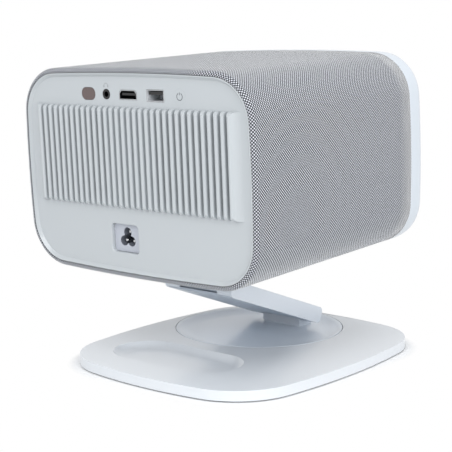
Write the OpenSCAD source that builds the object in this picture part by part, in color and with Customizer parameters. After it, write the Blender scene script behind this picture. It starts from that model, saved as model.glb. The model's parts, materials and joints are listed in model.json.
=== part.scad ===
// Desk projector with a slot-loading disc player, on a folding swivel stand.
// The lens looks along -Y, the sockets face +Y and +Z is up. Z = 0 is the table.
// The head is drawn level about its own centre and then set at its resting tilt.

/* [Body] */
// Width of the fabric-covered body
body_w = 198.2; // [192:0.2:208]
// Height of the fabric-covered body
body_h = 134; // [130:0.2:142]
// Depth of the fabric sleeve, front to back
sleeve_d = 168; // [164:1:180]
// Corner radius of the body's outline
body_corner = 30.4; // [26:0.2:36]
// Radius of the bulged left and right sides
body_side_r = 800; // [500:10:1600]
// Radius of the bulged top and bottom
body_top_r = 2040; // [1200:10:4000]
// Thickness of the fabric skin
fabric_t = 1.2; // [0.8:0.1:1.3]
// Wall of the moulded housing under the fabric
housing_t = 1.5; // [1.2:0.1:1.6]
// Radius with which the fabric rolls over the rear edge
rim_r = 3; // [3:0.1:4.5]
// Resting tilt of the head, front up
head_pitch = 2.6; // [0:0.1:4]

/* [Rear cover] */
// Gap between the rolled fabric edge and the rear cover
cover_gap = 0.2; // [0.1:0.05:0.3]
// Wall of the rear cover
cover_t = 2.4; // [2:0.1:3]
// Depth by which the cover's face lies below its rim
face_drop = 2; // [1:0.1:2.6]
// Width of the sloped band between rim and face
rim_slope_w = 2.6; // [2:0.2:6]
// Rounding of the cover's outer edge
cover_edge_r = 0.8; // [0.6:0.1:1.4]
// Depth of the cover's skirt
skirt_d = 10; // [8:0.5:12]
// Number of cooling ribs, odd
rib_count = 33; // [25:2:35]
// Distance from rib to rib
rib_pitch = 5.08; // [4.6:0.02:5.2]
// Width of a rib
rib_w = 2.9; // [2.2:0.1:3.4]
// Height of a rib above the face
rib_h = 4.2; // [3:0.1:5]
// Height of the ribs' upper ends above the body's centre
rib_top = 42.5; // [38:0.5:43]
// Depth of the ribs' lower ends below the body's centre
rib_bottom = 21.8; // [18:0.2:25]
// Width of the ramp beside the first and the last rib
ramp_w = 5.5; // [3:0.5:6]
// Open slots between ribs on each side
slots_per_side = 12; // [8:1:14]

/* [Sockets] */
// Height of the socket row above the body's centre
port_z = 50; // [49:0.5:51]
// Sideways place of the remote-control window
ir_x = 37.1; // [35:0.1:39]
// Width of the remote-control window
ir_w = 12; // [10:0.5:13]
// Height of the remote-control window
ir_h = 7.8; // [7:0.2:9]
// Sideways place of the headphone jack
jack_x = 21; // [19:0.1:22]
// Outer diameter of the headphone jack's collar
jack_d = 6.4; // [6:0.1:8]
// Bore of the headphone jack
jack_bore_d = 3.6; // [3.5:0.05:3.7]
// Sideways place of the video socket
hdmi_x = 2; // [0:0.1:3]
// Width of the video socket
hdmi_w = 15; // [14:0.1:16]
// Height of the video socket
hdmi_h = 5.9; // [5.5:0.1:6.5]
// Sideways place of the data socket
usb_x = -21.2; // [-23:0.1:-20]
// Width of the data socket
usb_w = 14.2; // [13.4:0.1:15]
// Height of the data socket
usb_h = 7.2; // [6.8:0.1:7.8]
// Wall of the sockets' sheet metal shells
socket_t = 0.4; // [0.3:0.05:0.5]
// Depth of the socket bodies behind the face
port_d = 13; // [12:0.5:14]
// Sideways place of the power button
power_x = -41.1; // [-43:0.1:-39]
// Diameter of the power button
power_d = 9.6; // [8:0.1:11]
// Travel of the buttons
button_travel = 0.6; // [0.4:0.1:0.8]
// Sideways place of the mains inlet
inlet_x = 11.5; // [8:0.5:14]
// Depth of the mains inlet's centre below the body's centre
inlet_z = 42; // [41:0.5:43]
// Width of the inlet recess
inlet_w = 23.4; // [21:0.2:24]
// Height of the inlet recess
inlet_h = 18.4; // [17:0.2:19]
// Depth of the inlet recess
inlet_recess = 5; // [4:0.5:6]
// Diameter of an inlet pin
inlet_pin_d = 2.4; // [2:0.1:2.6]

/* [Front] */
// Depth of the hard front bezel
bezel_d = 18; // [16:0.5:20]
// Wall of the front bezel
bezel_t = 2.4; // [2:0.1:3]
// Rounding of the bezel's front edge
bezel_edge_r = 8; // [5:0.5:10]
// Width of the dark front window
window_w = 148; // [130:1:156]
// Height of the dark front window
window_h = 70; // [64:1:74]
// Corner radius of the front window
window_r = 22; // [12:1:30]
// Thickness of the front window
window_t = 1.6; // [1.2:0.1:1.8]
// Height of the lens axis above the body's centre
lens_z = 10; // [8:0.5:12]
// Outer diameter of the lens barrel
lens_d = 50; // [46:0.5:54]
// Wall of the lens barrel
lens_wall = 3; // [2:0.2:4]
// Travel of the focusing lens barrel
focus_travel = 3; // [2:0.5:4]

/* [Disc player] */
// Width of the disc player
player_w = 129; // [128:0.5:132]
// Depth of the disc player
player_l = 128; // [127:0.5:132]
// Height of the disc player
player_h = 17; // [16.5:0.5:18]
// Sheet thickness of the disc player's case
player_t = 1; // [0.8:0.1:1.2]
// Width of the disc slot
slot_w = 124; // [122:0.5:126]
// Height of the disc slot
slot_h = 5.2; // [5:0.1:6]
// Diameter of the spindle's platform
spindle_d = 28; // [24:1:32]
// Diameter of the feed roller
roller_d = 5; // [4:0.2:6]
// Travel of the laser pickup
pickup_travel = 30; // [26:1:30]
// Diameter of the pickup's guide rods
rod_d = 3; // [2.5:0.1:3.5]

/* [Inside] */
// Height of the frame plate below the body's centre
frame_drop = 43; // [42.5:0.1:43.5]
// Thickness of the frame plate
frame_t = 1.5; // [1:0.1:2]
// Side length of the square fan
fan_size = 60; // [50:1:60]
// Thickness of the fan
fan_d = 15; // [12:0.5:18]
// Number of fan blades
fan_blades = 9; // [7:2:11]
// Diameter of the speakers
speaker_d = 58; // [50:1:62]
// Thickness of the circuit boards
board_t = 1.6; // [1:0.1:2]

/* [Base] */
// Width of the base plate, left to right
base_w = 175; // [165:1:185]
// Length of the base plate, front to back
base_l = 208; // [206:1:220]
// Corner radius of the base plate
base_corner = 45; // [35:1:52]
// Radius of the bulged left and right edges
base_side_r = 435; // [350:5:600]
// Radius of the bulged front and rear edges
base_end_r = 293; // [240:5:400]
// Thickness of the base plate at its edge
base_t = 6.4; // [6.2:0.1:8]
// Height of the rubber feet below the base plate
foot_h = 1; // [0.8:0.1:2]
// Diameter of a rubber foot
foot_d = 16; // [12:0.5:20]
// Thickness of the steel ballast plate
ballast_t = 1.6; // [1.2:0.1:1.8]
// Border of the base plate in front of the turntable
front_border = 1.4; // [1.2:0.1:3]
// Border of the base plate beside the turntable
side_border = 5.1; // [4:0.1:7]
// Diameter of the turntable
turntable_d = 120; // [112:1:122]
// Depth of the turntable's dish
dish_d = 3; // [2.4:0.1:3]
// Gap around the turntable
turntable_gap = 0.4; // [0.3:0.05:0.6]
// Diameter of the turntable's pivot boss
pivot_d = 24; // [18:1:30]
// Length of the tray recess
tray_l = 99; // [90:1:120]
// Width of the tray recess
tray_w = 47; // [38:1:48]
// Depth of the tray recess
tray_d = 3.8; // [3:0.1:4]
// Radius of the tray recess's side walls
tray_r = 10; // [6:0.5:14]
// Distance from the turntable's centre back to the tray's centre line
tray_dy = 97; // [96:0.5:104]
// Sideways distance from the turntable's centre to the tray's centre
tray_dx = 8.8; // [6:0.2:16]

/* [Arm] */
// Distance between the arm's two hinge axes
arm_l = 95.5; // [90:0.5:100]
// Width of the arm
arm_w = 59; // [56:0.5:64]
// Thickness of the arm
arm_t = 11.5; // [11.4:0.1:13]
// Resting angle of the arm above the table
arm_pitch = 20.2; // [18:0.1:24]
// Distance from the turntable's centre forward to the lower hinge
hinge_dy = 29.9; // [26:0.1:32]
// Height of the lower hinge axis above the table
hinge_z = 14.6; // [14.4:0.1:16]
// Distance from the body's centre back to the upper hinge
tilt_back = 21.2; // [16:0.1:24]
// Depth of the upper hinge axis below the body
tilt_drop = 16.6; // [16:0.1:20]
// Corner radius at the arm's ends
arm_end_r = 3.5; // [2:0.1:4.5]
// Wall of the arm's moulded shell
arm_shell_t = 1.5; // [1.2:0.1:1.7]
// Thickness of the arm's bottom cover
arm_cover_t = 1.4; // [1:0.1:1.6]
// Width of the hinge knuckles
knuckle_w = 33.6; // [30:0.2:36]
// Diameter of the hinge knuckles
knuckle_d = 7.8; // [7:0.1:8]
// Diameter of the hinge pins
pin_d = 4; // [3:0.1:4.4]
// Width of the arm's metal core
core_w = 50; // [46:0.5:52]

/* [Fits] */
// Radial running clearance of pins and shafts
run_c = 0.05; // [0.03:0.01:0.08]
// Radial clearance of pins that are held
held_c = 0.01; // [0.01:0.01:0.02]
// Clearance between a part and its seat
seat_c = 0.2; // [0.1:0.05:0.3]
// Gap between the fabric skin and the housing under it
cloth_gap = 0.15; // [0.1:0.05:0.2]
// Side clearance of the hinge knuckles
side_c = 0.35; // [0.3:0.05:0.6]

/* [Hidden] */
$fn = 96;
big_fn = 720;
overlap = 0.5;
soft_fn = 64;
round_steps = 5;
cut = 1;

// From the turntable's centre to the base plate's centre.
base_dx = base_w / 2 - turntable_d / 2 - side_border;
base_dy = base_l / 2 - turntable_d / 2 - front_border;

// Placement of the stand: the part's outer box is centred on the origin.
stand_x = (base_dx + base_w / 2 - body_w / 2) / 2;
base_x = stand_x - base_dx;
tilt_down = body_h / 2 + tilt_drop;
head_from_base = -base_dy - hinge_dy + arm_l * cos(arm_pitch) - tilt_back * cos(head_pitch)
    + tilt_down * sin(head_pitch);
foremost = head_from_base - (sleeve_d / 2 + bezel_d - bezel_edge_r) * cos(head_pitch)
    - (body_h / 2 - bezel_edge_r) * sin(head_pitch) - bezel_edge_r;
base_y = -(foremost + base_l / 2) / 2;
turn_y = base_y - base_dy;
base_top = foot_h + base_t;
ballast_top = foot_h + ballast_t;
base_rim = 3;
glide_t = 0.3;
disc_z = ballast_top + glide_t;
dish_floor = base_top - dish_d;
dish_r = turntable_d / 2 - 1.6;
dish_slope = 13;
dish_arc_r = (dish_slope * dish_slope + dish_d * dish_d) / (2 * dish_d);

// Placement of the arm and the head along the chain of hinges.
low_y = turn_y - hinge_dy;
tilt_y = low_y + arm_l * cos(arm_pitch);
tilt_z = hinge_z + arm_l * sin(arm_pitch);
head_y = tilt_y - tilt_back * cos(head_pitch) + tilt_down * sin(head_pitch);
head_z = tilt_z + tilt_back * sin(head_pitch) + tilt_down * cos(head_pitch);
knuckle_r = knuckle_d / 2;
slot_x = knuckle_w + 2 * side_c;
arm_end = arm_t / 2;
core_t = arm_t - arm_shell_t - arm_cover_t - 0.6;
core_z = (arm_cover_t - arm_shell_t) / 2;
notch_l = 6.2;

// Bracket under the head.
bracket_w = 60;
bracket_l = 44;
bracket_t = 2.5;
screw_d = 3;
screw_head_d = 5.6;
screw_head_t = 1.5;

// Planes inside the head, measured from its centre.
rear_y = sleeve_d / 2;
front_y = -sleeve_d / 2;
nose_y = front_y - bezel_d;
face_y = rear_y - face_drop;
inner_y = face_y - cover_t;
cover_in = rim_r + cover_gap;
frame_z = -frame_drop;
deck_z = frame_z + frame_t;
player_front = nose_y + 5;
player_z = frame_z - player_h;
slot_z = frame_z - player_t - slot_h / 2;
disc_y = player_front + 64;
engine_w = 104;
engine_top = 40;
engine_front = front_y + 22;
engine_back = 30;
fan_x = 52;
fan_z = (rib_top - rib_bottom) / 2;
port_board_y = face_y - port_d;
skin_t = fabric_t + cloth_gap;
housing_in = skin_t + housing_t;

// ---------------------------------------------------------------- outlines

// Centre of the corner arc of a rectangle whose four sides bulge.
function corner_at(w, h, r, rs, re) =
    let (side = [w / 2 - rs, 0],
         top = [0, h / 2 - re],
         d = norm(top - side),
         u = (top - side) / d,
         a = (pow(rs - r, 2) - pow(re - r, 2) + d * d) / (2 * d))
    side + a * u + sqrt(pow(rs - r, 2) - a * a) * [-u[1], u[0]];

// Rectangle with bulged sides and tangent corner arcs.
module bulged(w, h, r, rs, re) {
    c = corner_at(w, h, r, rs, re);
    side_y = c[1] * rs / (rs - r);
    top_x = c[0] * re / (re - r);
    intersection() {
        for_both_sides(w / 2 - rs, rs);
        square([w + 2, 2 * side_y], center = true);
    }
    rotate(90) intersection() {
        for_both_sides(h / 2 - re, re);
        square([h + 2, 2 * top_x], center = true);
    }
    for (sx = [-1, 1], sy = [-1, 1])
        translate([sx * c[0], sy * c[1]]) circle(r);
}

// The lens shape shared by two large circles that face each other.
module for_both_sides(offset_x, r) {
    intersection() {
        translate([offset_x, 0]) circle(r, $fn = big_fn);
        translate([-offset_x, 0]) circle(r, $fn = big_fn);
    }
}

// The body's outline, moved inward by d.
module body_outline(d = 0) {
    bulged(body_w - 2 * d, body_h - 2 * d, body_corner - d, body_side_r - d, body_top_r - d);
}

// A solid of the body's outline with a rounded edge of radius e all round its
// lower end: thin slices that step in along a quarter circle, wrapped in a hull.
module rounded_block(d, l, e) {
    hull() for (i = [0 : round_steps]) let (a = 90 * i / round_steps)
        translate([0, 0, e * (1 - sin(a))]) linear_extrude(i == 0 ? l - e : 0.01)
            body_outline(d + e * (1 - cos(a)), $fn = soft_fn);
}

// The same solid with its rounded edge at the upper end, at height z.
module rounded_front(d, z, l, e) {
    translate([0, 0, z]) mirror([0, 0, 1]) rounded_block(d, l, e);
}

module rounded(w, h, r) {
    square([w, h - 2 * r], center = true);
    square([w - 2 * r, h], center = true);
    for (sx = [-1, 1], sy = [-1, 1])
        translate([sx * (w / 2 - r), sy * (h / 2 - r)]) circle(r);
}

// ------------------------------------------------------------------ frames

module at_turntable() {
    translate([stand_x, turn_y, 0]) children();
}

// Arm frame: the origin is on the lower hinge axis, +Y runs to the upper hinge.
module at_arm() {
    translate([stand_x, low_y, hinge_z]) rotate([arm_pitch, 0, 0]) children();
}

// Head frame: level, with the origin at the centre of the sleeve.
module at_head() {
    translate([stand_x, head_y, head_z]) rotate([-head_pitch, 0, 0]) children();
}

// Drawn outlines stand upright: X stays, Y becomes up, and Z runs forward from y.
module upright(y = rear_y) {
    translate([0, y, 0]) rotate([90, 0, 0]) children();
}

// A flat profile of depth and height, extruded sideways about x = 0.
module sideways(w) {
    translate([-w / 2, 0, 0]) rotate([90, 0, 90]) linear_extrude(w) children();
}

module along_x(d, l) {
    translate([-l / 2, 0, 0]) rotate([0, 90, 0]) cylinder(d = d, h = l);
}

// Four or two places, mirrored about the middle.
module at_corners(x, y) {
    for (sx = [-1, 1], sy = [-1, 1]) translate([sx * x, sy * y, 0]) children();
}

// -------------------------------------------------------------------- base

module base_outline(d = 0) {
    bulged(base_w - 2 * d, base_l - 2 * d, base_corner - d, base_side_r - d, base_end_r - d);
}

// Half of the tray's cross-section, from its middle out to one rim.
module tray_half() {
    arc_w = sqrt(tray_r * tray_r - pow(tray_r - tray_d, 2));
    flat = tray_w / 2 - arc_w;
    translate([0, -tray_d]) square([flat, tray_d + cut]);
    intersection() {
        translate([flat, tray_r - tray_d]) circle(tray_r);
        translate([flat, -tray_d]) square([arc_w, tray_d]);
    }
    translate([0, 0]) square([tray_w / 2, cut]);
}

// The long shallow trough for a remote control.
module tray_cut() {
    straight = tray_l - tray_w;
    translate([stand_x - tray_dx, turn_y + tray_dy, base_top]) {
        for (m = [0, 1]) mirror([0, m, 0]) translate([-straight / 2, 0, 0])
            rotate([90, 0, 90]) linear_extrude(straight) tray_half();
        for (s = [-1, 1]) translate([s * straight / 2, 0, 0]) rotate_extrude() tray_half();
    }
}

// Weight-saving pockets in the base's underside, clear of turntable and tray.
module base_pockets() {
    pitch = 17;
    size = 13;
    keep = turntable_d / 2 + 3 + size * 0.75;
    for (ix = [-4 : 4], iy = [-5 : 5]) {
        x = ix * pitch;
        y = iy * pitch;
        from_turn = norm([x - base_dx, y + base_dy]);
        from_tray = abs(y + base_dy - tray_dy);
        inside = abs(x) / (base_w / 2 - 12) + abs(y) / (base_l / 2 - 12);
        if (from_turn > keep && from_tray > tray_w / 2 + size / 2 + 2
            && inside < 1.45 && abs(x) < base_w / 2 - 16 && abs(y) < base_l / 2 - 16)
            translate([x, y, 0]) linear_extrude(base_top - 2.2) rounded(size, size, 2);
    }
}

// Places of the base screws about the base plate's centre.
screw_ex = base_w / 2 - 11;
screw_ey = base_l / 2 - 9;
base_screw_at = [[-screw_ex + 7, -screw_ey + 36], [-screw_ex, 10], [-screw_ex + 18, screw_ey - 15],
    [0, screw_ey], [screw_ex - 14, screw_ey - 15], [screw_ex, 22]];

module base_shell() color([0.90, 0.91, 0.93]) difference() {
    translate([base_x, base_y, foot_h]) linear_extrude(base_t) base_outline();
    translate([base_x, base_y, foot_h - cut]) linear_extrude(ballast_t + cut) base_outline(base_rim);
    at_turntable() cylinder(d = turntable_d, h = base_top + cut);
    translate([base_x, base_y, 0]) {
        base_pockets();
        for (p = base_screw_at) translate([p[0], p[1], 0])
            cylinder(r = screw_d / 2 + run_c, h = ballast_top + 3);
    }
    tray_cut();
}

module ballast_plate() color([0.55, 0.57, 0.60]) translate([base_x, base_y, 0]) difference() {
    translate([0, 0, foot_h]) linear_extrude(ballast_t) base_outline(base_rim + seat_c);
    for (p = base_screw_at) translate([p[0], p[1], foot_h]) {
        translate([0, 0, -cut]) cylinder(r = screw_d / 2 + run_c, h = ballast_t + 2 * cut);
        screw_head(run_c);
    }
    foot_places() translate([0, 0, -cut]) cylinder(d = foot_d + 2 * seat_c, h = foot_h + 0.6 + cut);
    translate([base_dx, -base_dy, 0]) cylinder(r = pivot_d / 2 + run_c, h = 2 * ballast_top);
}

// A countersunk head, wide end down.
module screw_head(c = 0) {
    cylinder(r1 = screw_head_d / 2 + c, r2 = screw_d / 2 + c, h = screw_head_t - 0.1);
}

module foot_places() {
    at_corners(base_w / 2 - 30, base_l / 2 - 37) children();
}

module base_feet() color([0.16, 0.16, 0.17]) translate([base_x, base_y, 0]) foot_places() {
    cylinder(d1 = foot_d - 1, d2 = foot_d, h = 0.5);
    translate([0, 0, 0.5]) cylinder(d = foot_d, h = foot_h + 0.1);
}

module base_screws() color([0.7, 0.7, 0.72]) translate([base_x, base_y, 0])
    for (p = base_screw_at) translate([p[0], p[1], foot_h]) {
        screw_head();
        cylinder(d = screw_d, h = ballast_t + 2.6);
    }

module glide_ring() color([0.93, 0.93, 0.90]) at_turntable() translate([0, 0, ballast_top])
    difference() {
        cylinder(d = turntable_d - 6, h = glide_t);
        translate([0, 0, -cut]) cylinder(d = turntable_d - 26, h = glide_t + 2 * cut);
    }

// The dish: a flat floor that curves up to a narrow flat rim.
module dish_space() {
    floor_r = dish_r - dish_slope;
    rotate_extrude() {
        translate([0, dish_floor]) square([floor_r, dish_d + cut]);
        intersection() {
            translate([floor_r, dish_floor + dish_arc_r]) circle(dish_arc_r, $fn = 180);
            translate([floor_r, dish_floor]) square([dish_slope, dish_d]);
        }
    }
}

bolt_x = 13;
bolt_y = 4.2;
plate_w = 34;
plate_l = 16;
plate_t = 1.8;
plate_dy = hinge_dy + 4;
retainer_t = 0.6;
retainer_z = foot_h - retainer_t - 0.1;

module turntable() color([0.89, 0.91, 0.94]) at_turntable() difference() {
    union() {
        translate([0, 0, disc_z]) cylinder(d = turntable_d - 2 * turntable_gap, h = base_top - disc_z);
        translate([0, 0, retainer_z + retainer_t]) cylinder(d = pivot_d, h = disc_z - foot_h + overlap);
    }
    dish_space();
    translate([0, -plate_dy, 0]) at_corners(bolt_x, bolt_y)
        cylinder(r = screw_d / 2 + run_c, h = base_top);
}

// Washer under the ballast plate that holds the turntable down.
module pivot_retainer() color([0.62, 0.64, 0.67]) at_turntable() translate([0, 0, retainer_z])
    cylinder(d = pivot_d + 10, h = retainer_t);

// --------------------------------------------------------------------- arm

// Side view of a hinge knuckle: a round end on a neck that flares to its plate.
module knuckle_side(reach, rear_flare = 3) {
    circle(d = knuckle_d);
    polygon([[-knuckle_r, 0], [knuckle_r, 0], [knuckle_r, -reach * 0.6],
             [knuckle_r + rear_flare, -reach], [-knuckle_r - 3, -reach], [-knuckle_r, -reach * 0.6]]);
}

module lower_bracket() color([0.84, 0.87, 0.90]) at_turntable()
    difference() {
        union() {
            translate([0, -plate_dy, dish_floor]) linear_extrude(plate_t) rounded(plate_w, plate_l, 3);
            translate([0, -hinge_dy, hinge_z]) sideways(knuckle_w)
                knuckle_side(hinge_z - dish_floor - plate_t / 2, 0);
        }
        translate([0, -hinge_dy, hinge_z]) along_x(pin_d + 2 * run_c, knuckle_w + 2 * cut);
        translate([0, -plate_dy, 0]) at_corners(bolt_x, bolt_y)
            cylinder(r = screw_d / 2 + run_c, h = dish_floor + 1.2);
    }

module bracket_bolts() color([0.7, 0.7, 0.72]) at_turntable() translate([0, -plate_dy, 0])
    at_corners(bolt_x, bolt_y) translate([0, 0, disc_z]) cylinder(d = screw_d, h = dish_floor - disc_z + 1);

module lower_pin() color([0.75, 0.76, 0.78]) at_arm() along_x(pin_d, core_w);

module upper_pin() color([0.75, 0.76, 0.78]) at_arm() translate([0, arm_l, 0]) along_x(pin_d, core_w);

// Side view of the arm, shrunk by d, with its ends rounded.
module arm_side(d = 0) {
    len = arm_l + 2 * arm_end - 2 * d;
    translate([arm_l / 2, 0]) rounded(len, arm_t - 2 * d, max(arm_end_r - d, 0.6));
}

module arm_core() color([0.62, 0.64, 0.67]) at_arm() difference() {
    sideways(core_w) {
        translate([0, core_z - core_t / 2]) square([arm_l, core_t]);
        for (y = [0, arm_l]) translate([y, core_z]) circle(d = core_t);
    }
    for (y = [0, arm_l]) translate([0, y, 0]) {
        along_x(pin_d + 2 * held_c, core_w + 2 * cut);
        cube([slot_x, 2 * notch_l, 2 * arm_t], center = true);
    }
}

// Opening in the arm's underside that the cover closes.
cover_seat_w = arm_w - 2 * arm_shell_t - 0.6;
cover_seat_l = arm_l + 2 * arm_end - 2 * arm_shell_t;

module arm_shell() color([0.88, 0.91, 0.95]) at_arm() difference() {
    sideways(arm_w) arm_side();
    sideways(arm_w - 2 * arm_shell_t - 0.6) intersection() {
        arm_side(arm_shell_t);
        translate([-arm_t, -arm_t]) square([arm_l + 2 * arm_t, arm_t * 2]);
    }
    // open underside, where the cover goes
    translate([0, arm_l / 2, -arm_t / 2])
        cube([cover_seat_w, cover_seat_l, 2 * arm_cover_t + 0.4], center = true);
    // lower knuckle: open below and at the end, closed on top
    translate([-slot_x / 2, -arm_end - cut, -arm_t])
        cube([slot_x, arm_end + notch_l + cut, arm_t + core_z + core_t / 2 + 0.3]);
    // upper knuckle: open on top and at the end
    translate([-slot_x / 2, arm_l - notch_l, -arm_end + arm_cover_t])
        cube([slot_x, arm_end + notch_l + cut, arm_t + cut]);
    translate([-slot_x / 2, arm_l + arm_end - arm_shell_t - cut, -arm_t])
        cube([slot_x, arm_shell_t + 2 * cut, 2 * arm_t]);
}

module arm_cover() color([0.62, 0.68, 0.76]) at_arm() difference() {
    translate([0, arm_l / 2, -arm_end]) linear_extrude(arm_cover_t)
        rounded(cover_seat_w - 2 * seat_c, cover_seat_l - 2 * seat_c, 1);
    translate([-slot_x / 2, -arm_t, -arm_t]) cube([slot_x, arm_t + notch_l, 2 * arm_t]);
    translate([-slot_x / 2, arm_l + knuckle_r, -arm_t]) cube([slot_x, arm_t, 2 * arm_t]);
}

module at_tilt() {
    at_head() translate([0, tilt_back, -tilt_down]) children();
}

module head_screw_places() {
    at_corners(bracket_w / 2 - 7, bracket_l / 2 - 7) children();
}

module head_bracket() color([0.84, 0.87, 0.90]) at_tilt() difference() {
    reach = tilt_drop + skin_t - bracket_t;
    union() {
        rotate([180, 0, 0]) sideways(knuckle_w) knuckle_side(reach + bracket_t / 2);
        translate([0, 0, reach]) linear_extrude(bracket_t) rounded(bracket_w, bracket_l, 6);
    }
    along_x(pin_d + 2 * run_c, knuckle_w + 2 * cut);
    head_screw_places() translate([0, 0, reach]) {
        translate([0, 0, -cut]) cylinder(r = screw_d / 2 + run_c, h = bracket_t + 2 * cut);
        screw_head(run_c);
    }
}

module head_screws() color([0.7, 0.7, 0.72]) at_tilt() head_screw_places()
    translate([0, 0, tilt_drop + skin_t - bracket_t]) {
        screw_head();
        cylinder(d = screw_d, h = bracket_t + housing_t + 0.3 + 1.4);
    }

// Steel strip inside the housing that the bracket's screws bite into.
module head_backing() color([0.6, 0.62, 0.65]) at_tilt() difference() {
    translate([0, 0, tilt_drop + housing_in + 0.3]) linear_extrude(1.4) rounded(bracket_w, bracket_l, 3);
    head_screw_places() cylinder(r = screw_d / 2 + held_c, h = 2 * tilt_drop);
}

// ------------------------------------------------------------------ casing

// The fabric skin, rolled over the housing's rear edge.
module fabric_sleeve() color([0.62, 0.63, 0.66]) at_head() difference() {
    upright() difference() {
        rounded_block(0, sleeve_d, rim_r);
        translate([0, 0, fabric_t]) rounded_block(fabric_t, sleeve_d, rim_r - fabric_t);
        translate([0, 0, -cut]) linear_extrude(2 * cut + fabric_t) body_outline(rim_r);
    }
    translate([0, tilt_back, -body_h / 2]) linear_extrude(8, center = true)
        rounded(bracket_w + 2 * seat_c, bracket_l + 2 * seat_c, 6 + seat_c);
}

post_x = 74;
post_y1 = front_y + 14;
post_y2 = rear_y - 44;
speaker_y = -24;
speaker_z = 4;
speaker_seat = 2.6;
speaker_face = body_w / 2 - housing_in - speaker_seat;

module post_places() {
    for (x = [-post_x, post_x], y = [post_y1, post_y2]) translate([x, y, 0]) children();
}

// Sound holes: a centre hole and two rings.
module sound_holes() {
    for (ring = [0 : 2], k = [0 : max(6 * ring - 1, 0)])
        rotate([360 / max(6 * ring, 1) * k, 0, 0]) translate([0, 0, ring * 9])
            rotate([0, 90, 0]) cylinder(d = 3.6, h = 12, $fn = 24);
}

module housing() color([0.32, 0.33, 0.35]) at_head() difference() {
    union() {
        upright() translate([0, 0, rim_r]) linear_extrude(sleeve_d - rim_r) difference() {
            body_outline(skin_t);
            body_outline(housing_in);
        }
        upright() translate([0, 0, rim_r + overlap]) linear_extrude(5) difference() {
            body_outline(skin_t + overlap);
            body_outline(rim_r);
        }
        // posts under the frame plate, rooted in the wall
        intersection() {
            post_places() translate([0, 0, -body_h / 2]) cylinder(d = 7, h = frame_z + body_h / 2);
            upright() linear_extrude(sleeve_d) body_outline(housing_in - overlap);
        }
        for (m = [0, 1]) mirror([m, 0, 0]) translate([speaker_face, speaker_y, speaker_z])
            rotate([0, 90, 0]) difference() {
                cylinder(d = speaker_d + 4, h = speaker_seat + 0.4);
                translate([0, 0, -cut]) cylinder(d = speaker_d - 6, h = 6);
            }
    }
    post_places() translate([0, 0, frame_z - 8]) cylinder(r = screw_d / 2, h = 9);
    for (m = [0, 1]) mirror([m, 0, 0]) translate([speaker_face - 2, speaker_y, speaker_z]) sound_holes();
    translate([0, tilt_back, -body_h / 2]) head_screw_places() cylinder(r = screw_d / 2 + run_c, h = 8);
}

// Tub of the rear cover: rounded edge, sloped rim, dished face and skirt.
module cover_tub() {
    difference() {
        rounded_block(cover_in, skirt_d, cover_edge_r);
        hull() {
            translate([0, 0, -cut]) linear_extrude(cut) body_outline(cover_in + cover_edge_r, $fn = soft_fn);
            translate([0, 0, face_drop - 0.01]) linear_extrude(0.01)
                body_outline(cover_in + rim_slope_w, $fn = soft_fn);
        }
        translate([0, 0, face_drop + cover_t]) linear_extrude(skirt_d) body_outline(cover_in + 2);
        slot_windows();
    }
}

rib_span = (rib_count - 1) / 2 * rib_pitch;
crest = face_drop - rib_h;

// Ribs seen from above: width against depth.
module rib_sections() {
    for (k = [0 : rib_count - 1]) translate([k * rib_pitch - rib_span, 0]) {
        translate([-rib_w / 2, crest + rib_w / 2]) square([rib_w, face_drop + cover_t - crest - rib_w / 2]);
        translate([0, crest + rib_w / 2]) circle(d = rib_w, $fn = 32);
    }
    for (m = [0, 1]) mirror([m, 0]) polygon(concat(
        [[rib_span, face_drop + cut], [rib_span, crest + rib_w / 2]],
        [for (t = [0 : 0.2 : 1])
            [rib_span + rib_w / 2 + t * ramp_w, face_drop - (rib_h - 0.8) * pow(1 - t, 2)]],
        [[rib_span + rib_w / 2 + ramp_w, face_drop + cut]]));
}

// Ribs seen from the side: height against depth, with rounded ends.
module rib_side() {
    end_r = min(rib_h, 4);
    translate([-rib_bottom, crest + end_r]) square([rib_top + rib_bottom, rib_h + cover_t - end_r]);
    translate([-rib_bottom + end_r, crest]) square([rib_top + rib_bottom - 2 * end_r, rib_h + cover_t]);
    for (y = [-rib_bottom + end_r, rib_top - end_r]) translate([y, crest + end_r]) circle(end_r, $fn = 48);
}

module ribs() {
    intersection() {
        translate([0, rib_top, 0]) rotate([90, 0, 0]) linear_extrude(rib_top + rib_bottom) rib_sections();
        sideways(body_w) rib_side();
    }
}

module slot_windows() {
    reach = slots_per_side * rib_pitch;
    for (m = [0, 1]) mirror([m, 0, 0]) translate([rib_span - reach, -rib_bottom + 4, 0])
        cube([reach, rib_top + rib_bottom - 8, 2 * cover_t + face_drop + 4]);
}

ir_r = ir_h / 2 - 0.2;

module hdmi_shape(d = 0) {
    w = hdmi_w / 2 - d;
    h = hdmi_h / 2 - d;
    polygon([[-w, h - 1.8], [-w + 1.6, h], [w - 1.6, h], [w, h - 1.8], [w, -h], [-w, -h]]);
}

module at_port(x) {
    translate([x, port_z, face_drop]) children();
}

module inlet_outline(d = 0) {
    rounded(inlet_w + 2 * d, inlet_h + 2 * d, 2.6 + d);
}

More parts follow.
